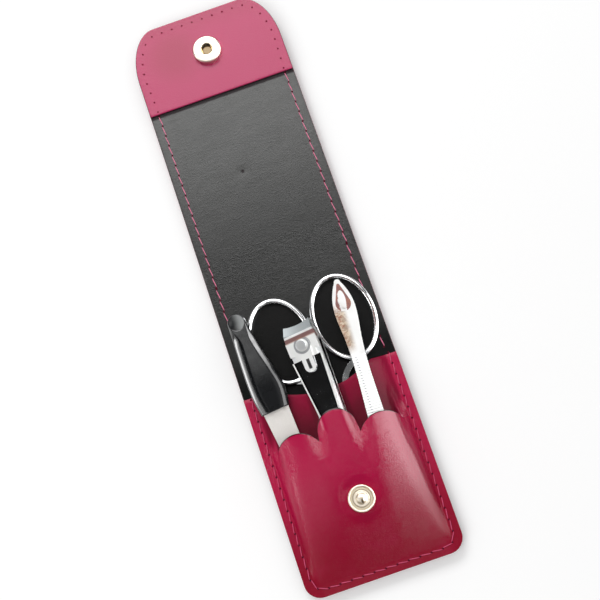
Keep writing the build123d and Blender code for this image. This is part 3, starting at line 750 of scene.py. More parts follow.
leverLook = {
    "marks": (0.05, 0.12),
    "plate": (42.6, 43.1),
    "tongueAt": 39.7,
    "tongue": (2.35, 2.1),
    "tongueFrom": (37.3, 37.5),
    "slotHalf": (0.75, 0.5),
    "slotSpan": ((38.7, 39.0), (42.7, 42.4)),
    "slotShare": 0.95,
    "boss": (0.0, 48.0, 0.0),
    "bossRing": ((3.4, 3.1), (2.2, 2.5)),
    "bossShare": 0.75,
    "halfWidth": (11.0, 43.0, 3.35, 6.0),
    "lip": (0.62, 0.45),
    "front": (50.0, 50.7, 0.0, 0.8),
    "inLip": (0.5, 0.2),
    "inLipReach": (1.1, 0.95),
    "satin": 0.45,
}


def leverMaterial():
    # the plate round the pin and its tongue are satin, the long leaf below them a dark mirror
    look = leverLook
    material, tree, shader = newMaterial("leverSteel", finish["steel"], {"Metallic": 1.0})
    place = placeOf(tree)
    x, along, up = axesOf(tree, place)
    across = maths(tree, "ABSOLUTE", x)
    made = marksOn(tree, place, *look["marks"])
    plate = ramp(tree, along, *look["plate"])
    held = flatPoint(tree, x, maths(tree, "MINIMUM", along, look["tongueAt"]))
    tongueEnd = vectorMaths(tree, "DISTANCE", held, (0.0, look["tongueAt"], 0.0))
    tongue = product(tree, ramp(tree, tongueEnd, *look["tongue"]), ramp(tree, along, *look["tongueFrom"]))
    # painted shadow: a dark slot where the keyhole shows
    slot = product(tree, ramp(tree, across, *look["slotHalf"]), band(tree, along, *look["slotSpan"]))
    boss = vectorMaths(tree, "DISTANCE", flatPoint(tree, x, along), look["boss"])
    ends = dict(zip(("From Min", "From Max", "To Min", "To Max"), look["halfWidth"]))
    halfWidth = add(tree, "MapRange", {"Value": along, **ends}).outputs["Result"]
    fromSide = maths(tree, "SUBTRACT", halfWidth, across)
    lip = ramp(tree, fromSide, *look["lip"])
    bright = maths(tree, "MAXIMUM", maths(tree, "MAXIMUM", plate, tongue), lip)
    shade = mixColour(tree, bright, finish["steel"], finish["steelBright"])
    # painted shade round the boss's edge
    ring = product(tree, band(tree, boss, *look["bossRing"]), look["bossShare"])
    shade = mixColour(tree, ring, shade, finish["steelDark"])
    shade = mixColour(tree, product(tree, slot, look["slotShare"]), shade, finish["shadeDark"])
    # painted brown reflection along the front edge
    shade = mixColour(tree, ramp(tree, along, *look["front"]), shade, finish["brownReflection"])
    # painted shade on the inner side of the lips
    inLip = product(tree, ramp(tree, lip, *look["inLip"]), ramp(tree, fromSide, *look["inLipReach"]))
    inLip = product(tree, inLip, maths(tree, "SUBTRACT", 1.0, plate))
    shade = mixColour(tree, inLip, shade, finish["shadeDark"])
    rough = mixFloat(tree, bright, made["Roughness"], look["satin"])
    setInputs(tree, shader, {"Base Color": shade, "Roughness": rough})
    return material


upperArmLook = {
    "marks": (0.05, 0.14),
    "gap": ((49.0, 49.6), (52.4, 52.1)),
    "gapShare": 0.9,
    "line": (52.1, 52.3),
    "bevel": (52.9, 53.2),
    "sides": (3.6, 4.2),
    "sidesTo": (49.6, 49.0),
    "satinFrom": (52.0, 52.3),
    "satin": 0.4,
}


def upperArmMaterial():
    # painted warm shade between the lever's front edge and the jaw's bevel, a painted highlight line just
    # before the bevel, and a darker grey on the bevel
    look = upperArmLook
    material, tree, shader = newMaterial("upperArmSteel", finish["steel"], {"Metallic": 1.0})
    place = placeOf(tree)
    across, along, up = axesOf(tree, place)
    made = marksOn(tree, place, *look["marks"])
    gap = band(tree, along, *look["gap"])
    shade = mixColour(tree, product(tree, gap, look["gapShare"]), finish["steel"], finish["jawShade"])
    shade = mixColour(tree, ramp(tree, along, *look["line"]), shade, finish["jawHighlight"])
    shade = mixColour(tree, ramp(tree, along, *look["bevel"]), shade, finish["jawBevel"])
    sides = ramp(tree, maths(tree, "ABSOLUTE", across), *look["sides"])
    sides = product(tree, sides, ramp(tree, along, *look["sidesTo"]))
    satin = maths(tree, "MAXIMUM", maths(tree, "MAXIMUM", gap, sides), ramp(tree, along, *look["satinFrom"]))
    rough = mixFloat(tree, satin, made["Roughness"], look["satin"])
    setInputs(tree, shader, {"Base Color": shade, "Roughness": rough})
    return material


lowerArmLook = {
    "marks": (0.32, 0.42),
    "rivet": 6.0,
    "spread": math.radians(2.3),
    "depth": (0.3, 0.12),
    "shadedTo": (50.0, 48.0),
}


def lowerArmMaterial():
    # shaded between the arms, bright along the edge; the inner face is at (rivet - along) tan(spread)
    look = lowerArmLook
    material, tree, shader = newMaterial("lowerArmSteel", finish["steel"], {"Metallic": 1.0})
    place = placeOf(tree)
    across, along, up = axesOf(tree, place)
    made = marksOn(tree, place, *look["marks"])
    slope = math.tan(look["spread"])
    inner = maths(tree, "MULTIPLY_ADD", along, -slope, look["rivet"] * slope)
    depth = ramp(tree, maths(tree, "SUBTRACT", inner, up), *look["depth"])
    shaded = product(tree, depth, ramp(tree, along, *look["shadedTo"]))
    shade = mixColour(tree, shaded, finish["steelBright"], finish["shadeDark"])
    setInputs(tree, shader, {"Base Color": shade, "Roughness": made["Roughness"]})
    return material


fileLook = {
    "surface": {"Metallic": 0.55, "Roughness": 0.5},
    "turns": (0.9, -0.9),
    "teeth": {"Scale": 0.9, "Distortion": 0.6, "Detail": 1.0},
    "bump": (0.5, 0.00008),
    "cut": (0.1, 0.8, 0.35, 0.0),
}


def fileSteelMaterial():
    # two crossing sets of cut teeth on the blade
    look = fileLook
    material, tree, shader = newMaterial("fileSteel", finish["fileSteel"], look["surface"])
    place = placeOf(tree)
    cuts = []
    for turn in look["turns"]:
        inputs = {"Vector": stretched(tree, place, (1.0, 1.0, 1.0), turn), **look["teeth"]}
        cuts.append(add(tree, "TexWave", inputs).outputs["Fac"])
    height = product(tree, *cuts)
    shade = mixColour(tree, ramp(tree, height, *look["cut"]), finish["fileSteel"], finish["fileCut"])
    setInputs(tree, shader, {"Base Color": shade, "Normal": bumped(tree, height, *look["bump"])})
    return material


plasticLook = {
    "surface": {"Coat Roughness": 0.12, "Coat IOR": 2.0, "Specular IOR Level": 0.12},
    "smudge": (0.3, 4.0, 0.6, 0.5),
    "fine": (8.0, 2.0),
    "bump": (0.04, 0.0001),
    "dish": (-0.2, 35.7, 0.0),
    "outside": (2.9, 3.4),
    "flat": (8.0, 25.0, 0.0, 0.62),
    "flatSmudge": (0.3, 0.7, 0.8, 1.2),
    "bevel": (4.0, 1.8),
    "bevelSide": (-1.5, 1.5, 1.0, 0.22),
    "bevelEnd": (34.0, 27.0, 0.3, 1.0),
    "dishSheen": (-1.9, 1.9),
    "dishSheenReach": (3.2, 2.8),
    "roughness": (0.35, 0.7, 0.26, 0.32),
}


def plasticMaterial():
    # satin black, glossier on the bevels and towards the thumb rest, with a painted sheen on the rest's right
    # side
    look = plasticLook
    material, tree, shader = newMaterial("handlePlastic", finish["plastic"], look["surface"])
    place = placeOf(tree)
    across, along, up = axesOf(tree, place)
    smudge = noise(tree, place, *look["smudge"])
    fromDish = vectorMaths(tree, "DISTANCE", flatPoint(tree, across, along), look["dish"])
    flat = product(tree, ramp(tree, along, *look["flat"]), ramp(tree, smudge, *look["flatSmudge"]))
    bevels = product(
        tree, ramp(tree, maskOf(tree, "away"), *look["bevel"]), ramp(tree, across, *look["bevelSide"]),
        ramp(tree, along, *look["bevelEnd"]),
    )
    weight = product(tree, maths(tree, "MAXIMUM", flat, bevels), ramp(tree, fromDish, *look["outside"]))
    dishSheen = product(tree, ramp(tree, across, *look["dishSheen"]), ramp(tree, fromDish, *look["dishSheenReach"]))
    setInputs(tree, shader, {
        "Base Color": mixColour(tree, dishSheen, finish["plastic"], finish["plasticSheen"]),
        "Coat Weight": weight,
        "Roughness": ramp(tree, smudge, *look["roughness"]),
        "Normal": bumped(tree, noise(tree, place, *look["fine"]), *look["bump"]),
    })
    return material


pocketLeather = leatherMaterial("pocketLeather", True)
outerLeather = leatherMaterial("outerLeather", False)
liningLeather = liningMaterial()
facingLeather = facingMaterial()
cutEdge = plainMaterial("cutEdge", finish["cutEdge"], 0.6)
suede = plainMaterial("suede", finish["suede"], 0.9, 5.0, 0.6)
threadFibre = plainMaterial("threadFibre", finish["thread"], 0.7, 9.0, 0.4, 0.1)
liningThread = plainMaterial("liningThread", finish["liningThread"], 0.7, 9.0, 0.4, 0.1)
needleHole = plainMaterial("needleHole", finish["hole"], 0.8, specular=0.1)
facingHole = plainMaterial("facingHole", finish["facingHole"], 0.8, specular=0.1)
chrome = metalMaterial("chrome", finish["steel"], 0.05, 0.14)
nickel = metalMaterial("nickel", finish["nickelPale"], 0.16, 0.24, 0.01)
studNickel = studMaterial()
socketNickel = socketMaterial()
capNickel = capMaterial()
brass = metalMaterial("brass", finish["brass"], 0.2, 0.35)
fileSteel = fileSteelMaterial()
tweezersSteel = tweezersMaterial()
leverSteel = leverMaterial()
upperArmSteel = upperArmMaterial()
lowerArmSteel = lowerArmMaterial()
pinSteel = metalMaterial("pinSteel", finish["steel"], 0.32, 0.42)
handlePlastic = plasticMaterial()
print("stage: materials")


def halfBottom(y):
    # 30 above the corner, else 24 + sqrt(6^2 - (6 - y)^2)
    radius = case["bottomCorner"]
    away = np.clip(radius - y, 0.0, radius)
    return case["half"] - radius + np.sqrt(radius**2 - away**2)


def halfFlap(v):
    # 30 before the corner, else 18 + 12 sqrt(1 - ((v - 81) / 20.5)^2)
    wide, long = case["flapCorner"]
    share = np.clip((v - case["flapTop"]) / long, 0.0, 1.0)
    return case["half"] - wide + wide * np.sqrt(1.0 - share**2)


def edgeInset(away):
    # how far a rounded edge has drawn in at that distance from its end: r - sqrt(r^2 - (r - away)^2)
    radius = case["edgeRound"]
    left = np.clip(radius - away, 0.0, radius)
    return radius - np.sqrt(radius**2 - left**2)


def plateLoops(ys, half, low, high, inset, relief=None, topCount=45):
    # each row is a closed section: top edge to edge, rounded side, bottom back again, rounded side
    radius = case["edgeRound"]
    angles = np.radians([70.0, 45.0, 20.0])
    share = np.linspace(-1.0, 1.0, topCount)
    half, low, high = half - inset, low + inset, high - inset
    reach = (half - radius)[:, None]
    top = np.stack([reach * share, np.broadcast_to(high[:, None], (len(ys), topCount))], axis=-1)
    bottom = np.stack([-reach * share, np.broadcast_to(low[:, None], (len(ys), topCount))], axis=-1)
    rounding = np.minimum(radius, (high - low) / 2)[:, None]
    out, rise = rounding * np.cos(angles), rounding * np.sin(angles)
    upper = np.stack([reach + out, high[:, None] - rounding + rise], axis=-1)
    lower = np.stack([reach + out, low[:, None] + rounding - rise], axis=-1)[:, ::-1]
    right = np.concatenate([upper, lower], axis=1)
    left = right[:, ::-1] * np.array([-1.0, 1.0])
    loops = np.concatenate([top, right, bottom, left], axis=1)
    lifted = np.zeros(loops.shape[:2])
    if relief is not None:
        lifted[:, :topCount] = relief(top[..., 0], np.broadcast_to(ys[:, None], top.shape[:2]))
    rows = np.broadcast_to(ys[:, None], loops.shape[:2])
    points = np.stack([loops[..., 0], rows, loops[..., 1] + lifted], axis=-1)
    sides = [1] * (2 * len(angles) + 1)
    kinds = np.array([0] * (topCount - 1) + sides + [2] * (topCount - 1) + sides)
    return points, kinds


def makePlate(name, points, kinds, materials, capFirst, capLast):
    rows, cols = points.shape[:2]
    faces = gridFaces(rows, cols, closed=True).tolist()
    kinds = np.tile(kinds, rows - 1).tolist()
    if capFirst:
        faces.append(list(range(cols)))
        kinds.append(1)
    if capLast:
        faces.append(list(range((rows - 1) * cols, rows * cols)))
        kinds.append(1)
    return makeObject(name, points.reshape(-1, 3), faces, materials, kinds)


def flapRise(y):
    # the open flap climbs with tan(tilt) past the second crease
    return np.maximum(y - case["spineEnd"], 0.0) * math.tan(case["tilt"])


def liningRelief(x, y):
    # shallow dent left by the stud, the spine's soft hollow, and faint cross folds along it
    dent = -0.1 * np.exp(-(((x + 2.3) / 2.2) ** 2 + ((y - 163.3) / 1.6) ** 2))
    dent += -0.3 * np.exp(-(((x + 2.3) / 0.7) ** 2 + ((y - 163.3) / 0.55) ** 2))
    fold = smooth(109.0, 116.0, y) * (1.0 - smooth(127.0, 135.0, y))
    lines = np.sin(y * 2.3 + 0.9 * np.sin(x * 0.21)) * np.sin(y * 0.9 + x * 0.05)
    return dent - 0.05 * fold * np.abs(lines)


def lowerStations(end):
    corner = case["bottomCorner"] * (1.0 - np.cos(np.radians(np.arange(10, 91, 8.0))))
    first = np.array([0.0, 0.03, 0.1])
    return np.concatenate([first, corner[corner > 0.12], np.arange(7.5, end - 0.6, 1.25), [end]])


def flapStations(start):
    # in v along the flap, from start to the rounded end
    corner = case["flapTop"] + case["flapCorner"][1] * np.sin(np.radians(np.arange(0, 90, 4.0)))
    first = start + np.array([0.0, 0.04, 0.12, 0.25])
    middle = np.arange(start + 0.9, case["flapTop"] - 0.6, 1.25)
    last = case["flap"] - np.array([0.12, 0.03, 0.0])
    return np.concatenate([first, middle, corner[corner < case["flap"] - 0.15], last])


leather = {
    "coverLower": {
        "low": 0.0, "high": 1.1, "nodes": ("back_cover", "spine_cover"), "slot": "outer_leather",
    },
    "liningLower": {
        "low": 1.1, "high": 2.0, "nodes": ("back_lining", "spine_lining"), "slot": "lining_leather",
    },
    "coverUpper": {
        "low": 0.0, "high": 1.1, "nodes": ("flap_cover", "spine_cover"), "slot": "outer_leather",
    },
    "liningUpper": {
        "low": 1.1, "high": 2.0, "nodes": ("flap_lining", "spine_lining"), "slot": "lining_leather",
    },
}


def bendAcross(thing):
    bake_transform(thing)


for name, piece in leather.items():
    lining = name.startswith("lining")
    face = liningLeather if lining else outerLeather
    relief = liningRelief if lining else None
    if name.endswith("Lower"):
        ys = lowerStations(case["spineMiddle"])
        half, away = halfBottom(ys), ys
    else:
        along = flapStations(case["spineMiddle"] - case["spineEnd"])
        ys = case["spineEnd"] + along
        half, away = halfFlap(along), case["flap"] - along
    rise = flapRise(ys)
    points, kinds = plateLoops(ys, half, piece["low"] + rise, piece["high"] + rise, edgeInset(away), relief)
    faced = [face, cutEdge, face]
    made = makePlate(name, points, kinds, faced, name.endswith("Lower"), name.endswith("Upper"))
    if name.endswith("Lower"):
        bendAcross(made)
    else:
        bendAcross(made)
    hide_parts(*piece["nodes"])

facing = {"length": 35.7, "thick": 0.8}
along = flapStations(case["flap"] - facing["length"])
ys = case["spineEnd"] + along
away = np.minimum(case["flap"] - along, along - along[0])
rise = flapRise(ys) + case["inside"]
points, kinds = plateLoops(ys, halfFlap(along), rise, rise + facing["thick"], edgeInset(away))
made = makePlate("flapFacing", points, kinds, [facingLeather, cutEdge, suede], True, True)
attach(made, "flap")
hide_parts("flap_facing")
print("stage: leather plates")


pocket = {
    "half": 26.2,
    "start": 3.7,
    "full": 64.0,
    "height": 13.2,
    "sideDrop": 2.3,
    "sideFrom": 8.0,
    "sideTo": 22.5,
    "valley": (3.0, 2.3, 30.0, 56.0),
    "band": 2.9,
    "thick": 0.8,
    "mouth": 77.2,
    "skew": 0.02,
    "notch": (20.0, 6.0),
    "slitGap": 0.3,
    "stud": (28.4, 4.5, 8.8),
    "closedSlope": math.radians(3.8237),
}


def arcHeight(x, first, top, last):
    # upper arc through three points: cy + sqrt(R^2 - (x - cx)^2)
    (ax, ay), (bx, by), (cx, cy) = first, top, last
    d = 2 * (ax * (by - cy) + bx * (cy - ay) + cx * (ay - by))
    ux = ((ax**2 + ay**2) * (by - cy) + (bx**2 + by**2) * (cy - ay) + (cx**2 + cy**2) * (ay - by)) / d
    uy = ((ax**2 + ay**2) * (cx - bx) + (bx**2 + by**2) * (ax - cx) + (cx**2 + cy**2) * (bx - ax)) / d
    return uy + np.sqrt(np.maximum((ax - ux) ** 2 + (ay - uy) ** 2 - (x - ux) ** 2, 0.0))


lobes = {
    "left": ((-24.8, 51.4), (-15.6, 57.6), (-7.65, 52.3)),
    "right": ((7.7, 51.0), (16.4, 55.5), (23.9, 51.6)),
    "foot": 54.4,
    "radius": 7.3,
}
leftEnd, leftDip = lobes["left"][0], lobes["left"][2]
rightDip, rightEnd = lobes["right"][0], lobes["right"][2]


def slitLine(x):
    # three lobes: arcs over the file, the clipper and the tweezers, with short slopes between them
    foot, radius = lobes["foot"], lobes["radius"]
    left = arcHeight(x, *lobes["left"])
    middle = foot + np.sqrt(np.maximum(radius**2 - x**2, 0.0))
    right = arcHeight(x, *lobes["right"])
    slopes = np.interp(x, [leftDip[0], -radius, radius, rightDip[0]], [leftDip[1], foot, foot, rightDip[1]])
    line = np.where(np.abs(x) > radius, slopes, middle)
    line = np.where(x < leftDip[0], left, np.where(x > rightDip[0], right, line))
    return np.where(x <= leftEnd[0], leftEnd[1], np.where(x >= rightEnd[0], rightEnd[1], line))


def bulge(x, y):
    # sin(pi/2 t) * (H(x) (1 - (|x|/half)^10) - depth * (two Gaussian furrows) * fade^3)
    # t rises from start to full, H falls towards the sides by a smooth step
    t = np.clip((y - pocket["start"]) / (pocket["full"] - pocket["start"]), 0.0, 1.0)
    side = smooth(pocket["sideFrom"], pocket["sideTo"], np.abs(x))
    wall = 1.0 - np.minimum(np.abs(x) / pocket["half"], 1.0) ** 10
    depth, width, low, high = pocket["valley"]
    furrows = sum(np.exp(-(((x - dip) / width) ** 2)) for dip in (leftDip[0], rightDip[0]))
    fade = np.clip((y - low) / (high - low), 0.0, 1.0) ** 3
    height = pocket["height"] - pocket["sideDrop"] * side
    return np.sin(np.pi / 2 * t) * (height * wall - depth * furrows * fade)


def bandRise(x):
    return pocket["band"] * (1.0 - smooth(14.0, pocket["half"], np.abs(x)))


def footShare(x):
    # 0 over the tools, 1 beside the ends of the slit
    return smooth(21.8, 24.6, np.abs(x))


def pocketTop(x, y):
    # bulge, drawn down to the band beside the slit's ends and pressed flat under the stud
    rise = bulge(x, y)
    rise = rise + (bandRise(x) - rise) * footShare(x) * smooth(36.0, 64.0, y)
    base = case["inside"] + pocket["thick"]
    at, flat, free = pocket["stud"]
    seat = base + float(bulge(np.array(0.0), np.array(at))) - 0.3
    seat = seat + (y - at) * math.tan(pocket["closedSlope"])
    away = smooth(flat, free, np.hypot(x, y - at))
    return np.where(away < 1.0, seat + (base + rise - seat) * away, base + rise)


def bandTop(x, y):
    # the band's own rise, climbing a little to the mouth, meeting the bulge beside the slit's ends
    share = footShare(x) * (1.0 - smooth(51.5, 66.0, y))
    climb = (0.6 * smooth(54.0, 74.0, y) - 0.25) * (1.0 - smooth(18.0, 25.0, np.abs(x)))
    low = case["inside"] + pocket["thick"] + bandRise(x) + climb
    return low + (pocketTop(x, y) - low) * share


def cosineSpread(low, high, count):
    return low + (high - low) * (0.5 - 0.5 * np.cos(np.linspace(0.0, np.pi, count)))


columns = np.unique(np.round(np.concatenate([
    [-30.0, -29.4, -28.2, -27.0, -26.5, -26.2, -26.05, -25.85, -25.6, -25.2],
    cosineSpread(leftEnd[0], leftDip[0], 30),
    [-7.48],
    cosineSpread(-lobes["radius"], lobes["radius"], 28),
    [7.5],
    cosineSpread(rightDip[0], rightEnd[0], 30),
    [24.3, 24.8, 25.2, 25.6, 25.85, 26.05, 26.2, 26.5, 27.0, 28.2, 29.4, 30.0],
]), 4))
straight = np.concatenate([[0.0, 0.25, 0.8, 1.7, 2.8, 3.7, 4.4, 5.2, 6.0], np.arange(7.2, 46.0, 1.2)])
shape = halfBottom(straight)[:, None] / case["half"]
xLow = columns[None, :] * shape
yLow = np.broadcast_to(straight[:, None], xLow.shape)
share = np.linspace(0.0, 1.0, 14)[:, None]
start = straight[-1] + 1.2
slit = slitLine(columns)[None, :]
yHigh = start + (slit - start) * share
xHigh = np.broadcast_to(columns, yHigh.shape)
sheetX, sheetY = np.concatenate([xLow, xHigh]), np.concatenate([yLow, yHigh])
sheet = np.stack([sheetX, sheetY, pocketTop(sheetX, sheetY)], axis=-1)

free = (columns > leftEnd[0]) & (columns < rightEnd[0])
radius = (pocket["notch"][0] ** 2 + pocket["notch"][1] ** 2) / (2 * pocket["notch"][1])
dip = np.sqrt(np.maximum(radius**2 - columns**2, 0.0)) - (radius - pocket["notch"][1])
mouthLine = pocket["mouth"] - np.maximum(dip, 0.0) - pocket["skew"] * (columns + case["half"])
bandStart = slitLine(columns) + np.where(free, pocket["slitGap"] * (1.0 - footShare(columns)), 0.0)
share = np.linspace(0.0, 1.0, 16)[:, None]
bandX = np.broadcast_to(columns, (16, len(columns)))
bandY = bandStart[None, :] + (mouthLine - bandStart)[None, :] * share
band = np.stack([bandX, bandY, bandTop(bandX, bandY)], axis=-1)
points = np.concatenate([sheet.reshape(-1, 3), band.reshape(-1, 3)])
faces = np.concatenate([
    gridFaces(sheet.shape[0], len(columns)),
    gridFaces(16, len(columns), start=sheet.shape[0] * len(columns)),
]).tolist()
frontPocket = makeObject("frontPocket", points, faces, [pocketLeather, cutEdge, suede], closed=False)
lip = np.zeros((sheet.shape[0], len(columns)), np.float32)
lip[-1] = np.where(free, 1.0 - footShare(columns), 0.0)
above = bandY - bandStart[None, :]
# painted shade on the band behind the tools: strongest by the slit, fading away from it, beside the slit's
# ends and at the sides
bandShade = 1.0 - 0.45 * smooth(3.0, 20.0, above)
bandShade = bandShade * (1.0 - footShare(columns)[None, :] * (1.0 - smooth(2.0, 10.0, above)))
bandShade = bandShade * (1.0 - smooth(25.2, 26.6, np.abs(columns)))[None, :]
keepMask(frontPocket, "bandShade", np.concatenate([np.zeros(lip.size), bandShade.ravel()]))
keepMask(frontPocket, "lip", np.concatenate([lip.ravel(), np.zeros(bandShade.size)]))
work = bmesh.new()
work.from_mesh(frontPocket.data)
bmesh.ops.remove_doubles(work, verts=work.verts, dist=0.00001 * mm)
work.to_mesh(frontPocket.data)
work.free()
thick = pocket["thick"] * mm
modifier(frontPocket, "SOLIDIFY", thickness=thick, offset=-1.0, material_offset=2, material_offset_rim=1)
eased = {"width": 0.12 * mm, "segments": 2, "limit_method": "ANGLE", "angle_limit": math.radians(55)}
modifier(frontPocket, "BEVEL", **eased)
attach(frontPocket, "case")
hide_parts("front_pocket")
print("stage: pocket")


thread = {
    "radius": 0.2,
    "length": 4.0,
    "lift": 0.16,
    "slant": 0.28,
    "pressed": 0.2,
    "rings": 7,
    "sides": 6,
    "hole": 0.4,
    "holeLift": 0.03,
}


def stitchRun(centres, directions, slant, press):
    # dash point = centre + direction (half u) + side (slant u + g sin a) + up press h
    # g = r sqrt(1 - |u|^5), h = 0.35 r + lift (1 - u^2) + g cos a
    rings, sides = thread["rings"], thread["sides"]
    u = np.linspace(-1.0, 1.0, rings)[None, :, None]
    turn = np.linspace(0.0, 2 * np.pi, sides, endpoint=False)[None, None, :]
    girth = thread["radius"] * np.sqrt(np.maximum(1.0 - np.abs(u) ** 5, 0.03))
    lateral = slant * u + girth * np.sin(turn)
    up = press * (0.35 * thread["radius"] + thread["lift"] * (1.0 - u**2) + girth * np.cos(turn))
    ahead = directions[:, None, None, :]
    side = np.stack([directions[:, 1], -directions[:, 0], np.zeros(len(directions))], axis=-1)
    side = side[:, None, None, :]
    half = thread["length"] / 2
    points = centres[:, None, None, :] + ahead * (half * u[..., None]) + side * lateral[..., None]
    points = points + up[..., None] * np.array([0.0, 0.0, 1.0])
    quads = gridFaces(rings, sides, closed=True)
    count = rings * sides
    faces = (quads[None] + (np.arange(len(centres)) * count)[:, None, None]).reshape(-1, 4).tolist()
    caps = [list(range(k * count, k * count + sides)) for k in range(len(centres))]
    caps += [list(range((k + 1) * count - sides, (k + 1) * count)) for k in range(len(centres))]
    return points.reshape(-1, 3), faces + caps


def holeDots(centres, height):
    # the dark dots are painted shade where the needle holes are
    # eight-sided dots: centre + r (cos a, sin a, 0)
    turn = np.linspace(0.0, 2 * np.pi, 8, endpoint=False)
    ring = np.stack([np.cos(turn), np.sin(turn), np.zeros(8)], axis=-1) * thread["hole"]
    points = centres[:, None, :] + ring[None] + np.array([0.0, 0.0, height])
    faces = (np.arange(8)[None] + 8 * np.arange(len(centres))[:, None]).tolist()
    return points.reshape(-1, 3), faces


def makeStitches(name, path, heights, pitch, slant, fibre=None, hole=None, press=1.0):
    # path is a chain of needle holes; a dash runs from each to the next
    path = np.column_stack([path, heights(path[:, 0], path[:, 1])])
    dots, dotFaces = holeDots(path, thread["holeLift"])
    parts = [dots]
    faces, kinds = list(dotFaces), [1] * len(dotFaces)
    if fibre:
        middle = (path[1:] + path[:-1]) / 2
        ahead = path[1:] - path[:-1]
        gaps = np.linalg.norm(ahead, axis=1)
        keep = gaps < 1.6 * pitch
        points, dashes = stitchRun(middle[keep], ahead[keep] / gaps[keep, None], slant, press)
        faces += [[index + len(dots) for index in face] for face in dashes]
        kinds += [0] * len(dashes)
        parts.append(points)
    return makeObject(name, np.concatenate(parts), faces, [fibre or threadFibre, hole or needleHole], kinds)


def chain(corners, pitch):
    # points spaced evenly along a polyline
    corners = np.array(corners)
    lengths = np.concatenate([[0.0], np.cumsum(np.linalg.norm(np.diff(corners, axis=0), axis=1))])
    at = np.linspace(0.0, lengths[-1], int(round(lengths[-1] / pitch)) + 1)
    return np.column_stack([np.interp(at, lengths, corners[:, axis]) for axis in (0, 1)])


def onPocketRim(x, y):
    return np.full(len(x), case["inside"] + pocket["thick"])


def onLining(x, y):
    return case["inside"] + flapRise(y)


def onFacing(x, y):
    return case["inside"] + facing["thick"] + flapRise(y)


seam = {
    "side": 27.2,
    "bottom": 2.6,
    "corner": 2.6,
    "top": 76.6,
    "left": -26.5,
    "right": 26.4,
    "begin": 103.0,
    "end": 196.4,
    "gap": 0.6,
    "stub": (79.3, 83.6),
    "facingInset": 2.9,
    "facingBegin": 198.0,
    "pitch": 4.3,
}
side, bottom, corner = seam["side"], seam["bottom"], seam["corner"]
rightSide = [(side - corner, bottom), (side, bottom + corner), (side, seam["top"])]
leftSide = [(-x, y) for x, y in reversed(rightSide)]
rim = chain(leftSide + rightSide, seam["pitch"])
pocketSeam = makeStitches("pocketSeam", rim, onPocketRim, seam["pitch"], thread["slant"], threadFibre)
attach(pocketSeam, "case")


def liningStitches(name, x, low, high):
    # a straight run at x, its thread pressed into the lining
    run = chain([(x, low), (x, high)], seam["pitch"])
    pressed = thread["pressed"]
    return makeStitches(name, run, onLining, seam["pitch"], -thread["slant"], liningThread, press=pressed)


runs = {
    "lining": (seam["begin"], case["spineMiddle"], "case", "spine", case["back"]),
    "flap": (case["spineMiddle"] + seam["gap"], seam["end"], "spine", "flap", case["spineEnd"]),
}
for part, (low, high, first, second, crease) in runs.items():
    for edge in ("left", "right"):
        made = liningStitches(part + "Seam" + edge.capitalize(), seam[edge], low, high)
        bendAcross(made)

seamStub = liningStitches("seamStub", seam["right"], *seam["stub"])
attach(seamStub, "case")

turns = np.radians(np.linspace(0.0, 90.0, 12))
inset = seam["facingInset"]
arcX = case["half"] - case["flapCorner"][0] + (case["flapCorner"][0] - inset) * np.cos(turns)
arcY = case["spineEnd"] + case["flapTop"] + (case["flapCorner"][1] - inset) * np.sin(turns)
leftArc, rightArc = list(zip(-arcX, arcY)), list(zip(arcX[::-1], arcY[::-1]))
ends = [(edge * seam["right"], seam["facingBegin"]) for edge in (-1, 1)]
outline = chain(ends[:1] + leftArc + rightArc + ends[1:], seam["pitch"])
facingSeam = makeStitches("facingSeam", outline, onFacing, seam["pitch"], 0.0, hole=facingHole)
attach(facingSeam, "flap")
print("stage: stitching")


handle = {
    "left": ((0.0, 6.2, 11.5, 19.0, 26.4, 32.0, 35.7), (-5.7, -6.25, -6.15, -5.5, -4.7, -4.05, -3.7)),
    "right": ((0.0, 3.0, 7.3, 13.6, 18.9, 24.2, 30.3, 35.7), (5.4, 6.1, 6.7, 6.1, 5.2, 4.35, 3.65, 3.3)),
    "tip": (-0.2, 35.7, 3.5),
    "half": 2.0,
    "wall": 0.6,
    "bevel": (3.4, 2.2, 0.7),
    "dish": (-0.2, 35.7, 3.2, 0.9),
}


def curve(at, stations, values):
    # cubic Hermite pieces, each slope that of the chords beside its station
    stations, values = np.array(stations), np.array(values)
    slopes = np.gradient(values, stations)
    k = np.clip(np.searchsorted(stations, at) - 1, 0, len(stations) - 2)
    gap = stations[k + 1] - stations[k]
    t = (at - stations[k]) / gap
    first = (2 * t**3 - 3 * t**2 + 1) * values[k] + (t**3 - 2 * t**2 + t) * gap * slopes[k]
    return first + (3 * t**2 - 2 * t**3) * values[k + 1] + (t**3 - t**2) * gap * slopes[k + 1]


def handleRise(x, s, left, right):
    # d = distance in from the outline; wall sqrt(1 - (1 - 2 d)^2) + (half - wall) (1 - (1 - d / bevel)^1.45)
    middle, start, radius = handle["tip"]
    away = np.where(s > start, radius - np.hypot(x - middle, s - start), np.minimum(x - left, right - x))
    away = np.maximum(away, 0.0)
    leftBevel, rightBevel, tipBevel = handle["bevel"]
    wide = np.where(x < middle, leftBevel, rightBevel)
    bevel = wide + (tipBevel - wide) * smooth(27.0, 34.5, s)
    low = handle["wall"] * np.sqrt(1.0 - (1.0 - np.minimum(away / 0.5, 1.0)) ** 2)
    share = 1.0 - np.clip(1.0 - away / bevel, 0.0, 1.0) ** 1.45
    return low + (handle["half"] - handle["wall"]) * share, away


def dishDepth(x, s):
    # depth (1 - (r / radius)^2)^1.2
    atX, atS, radius, depth = handle["dish"]
    return depth * np.clip(1.0 - ((x - atX) ** 2 + (s - atS) ** 2) / radius**2, 0.0, 1.0) ** 1.2


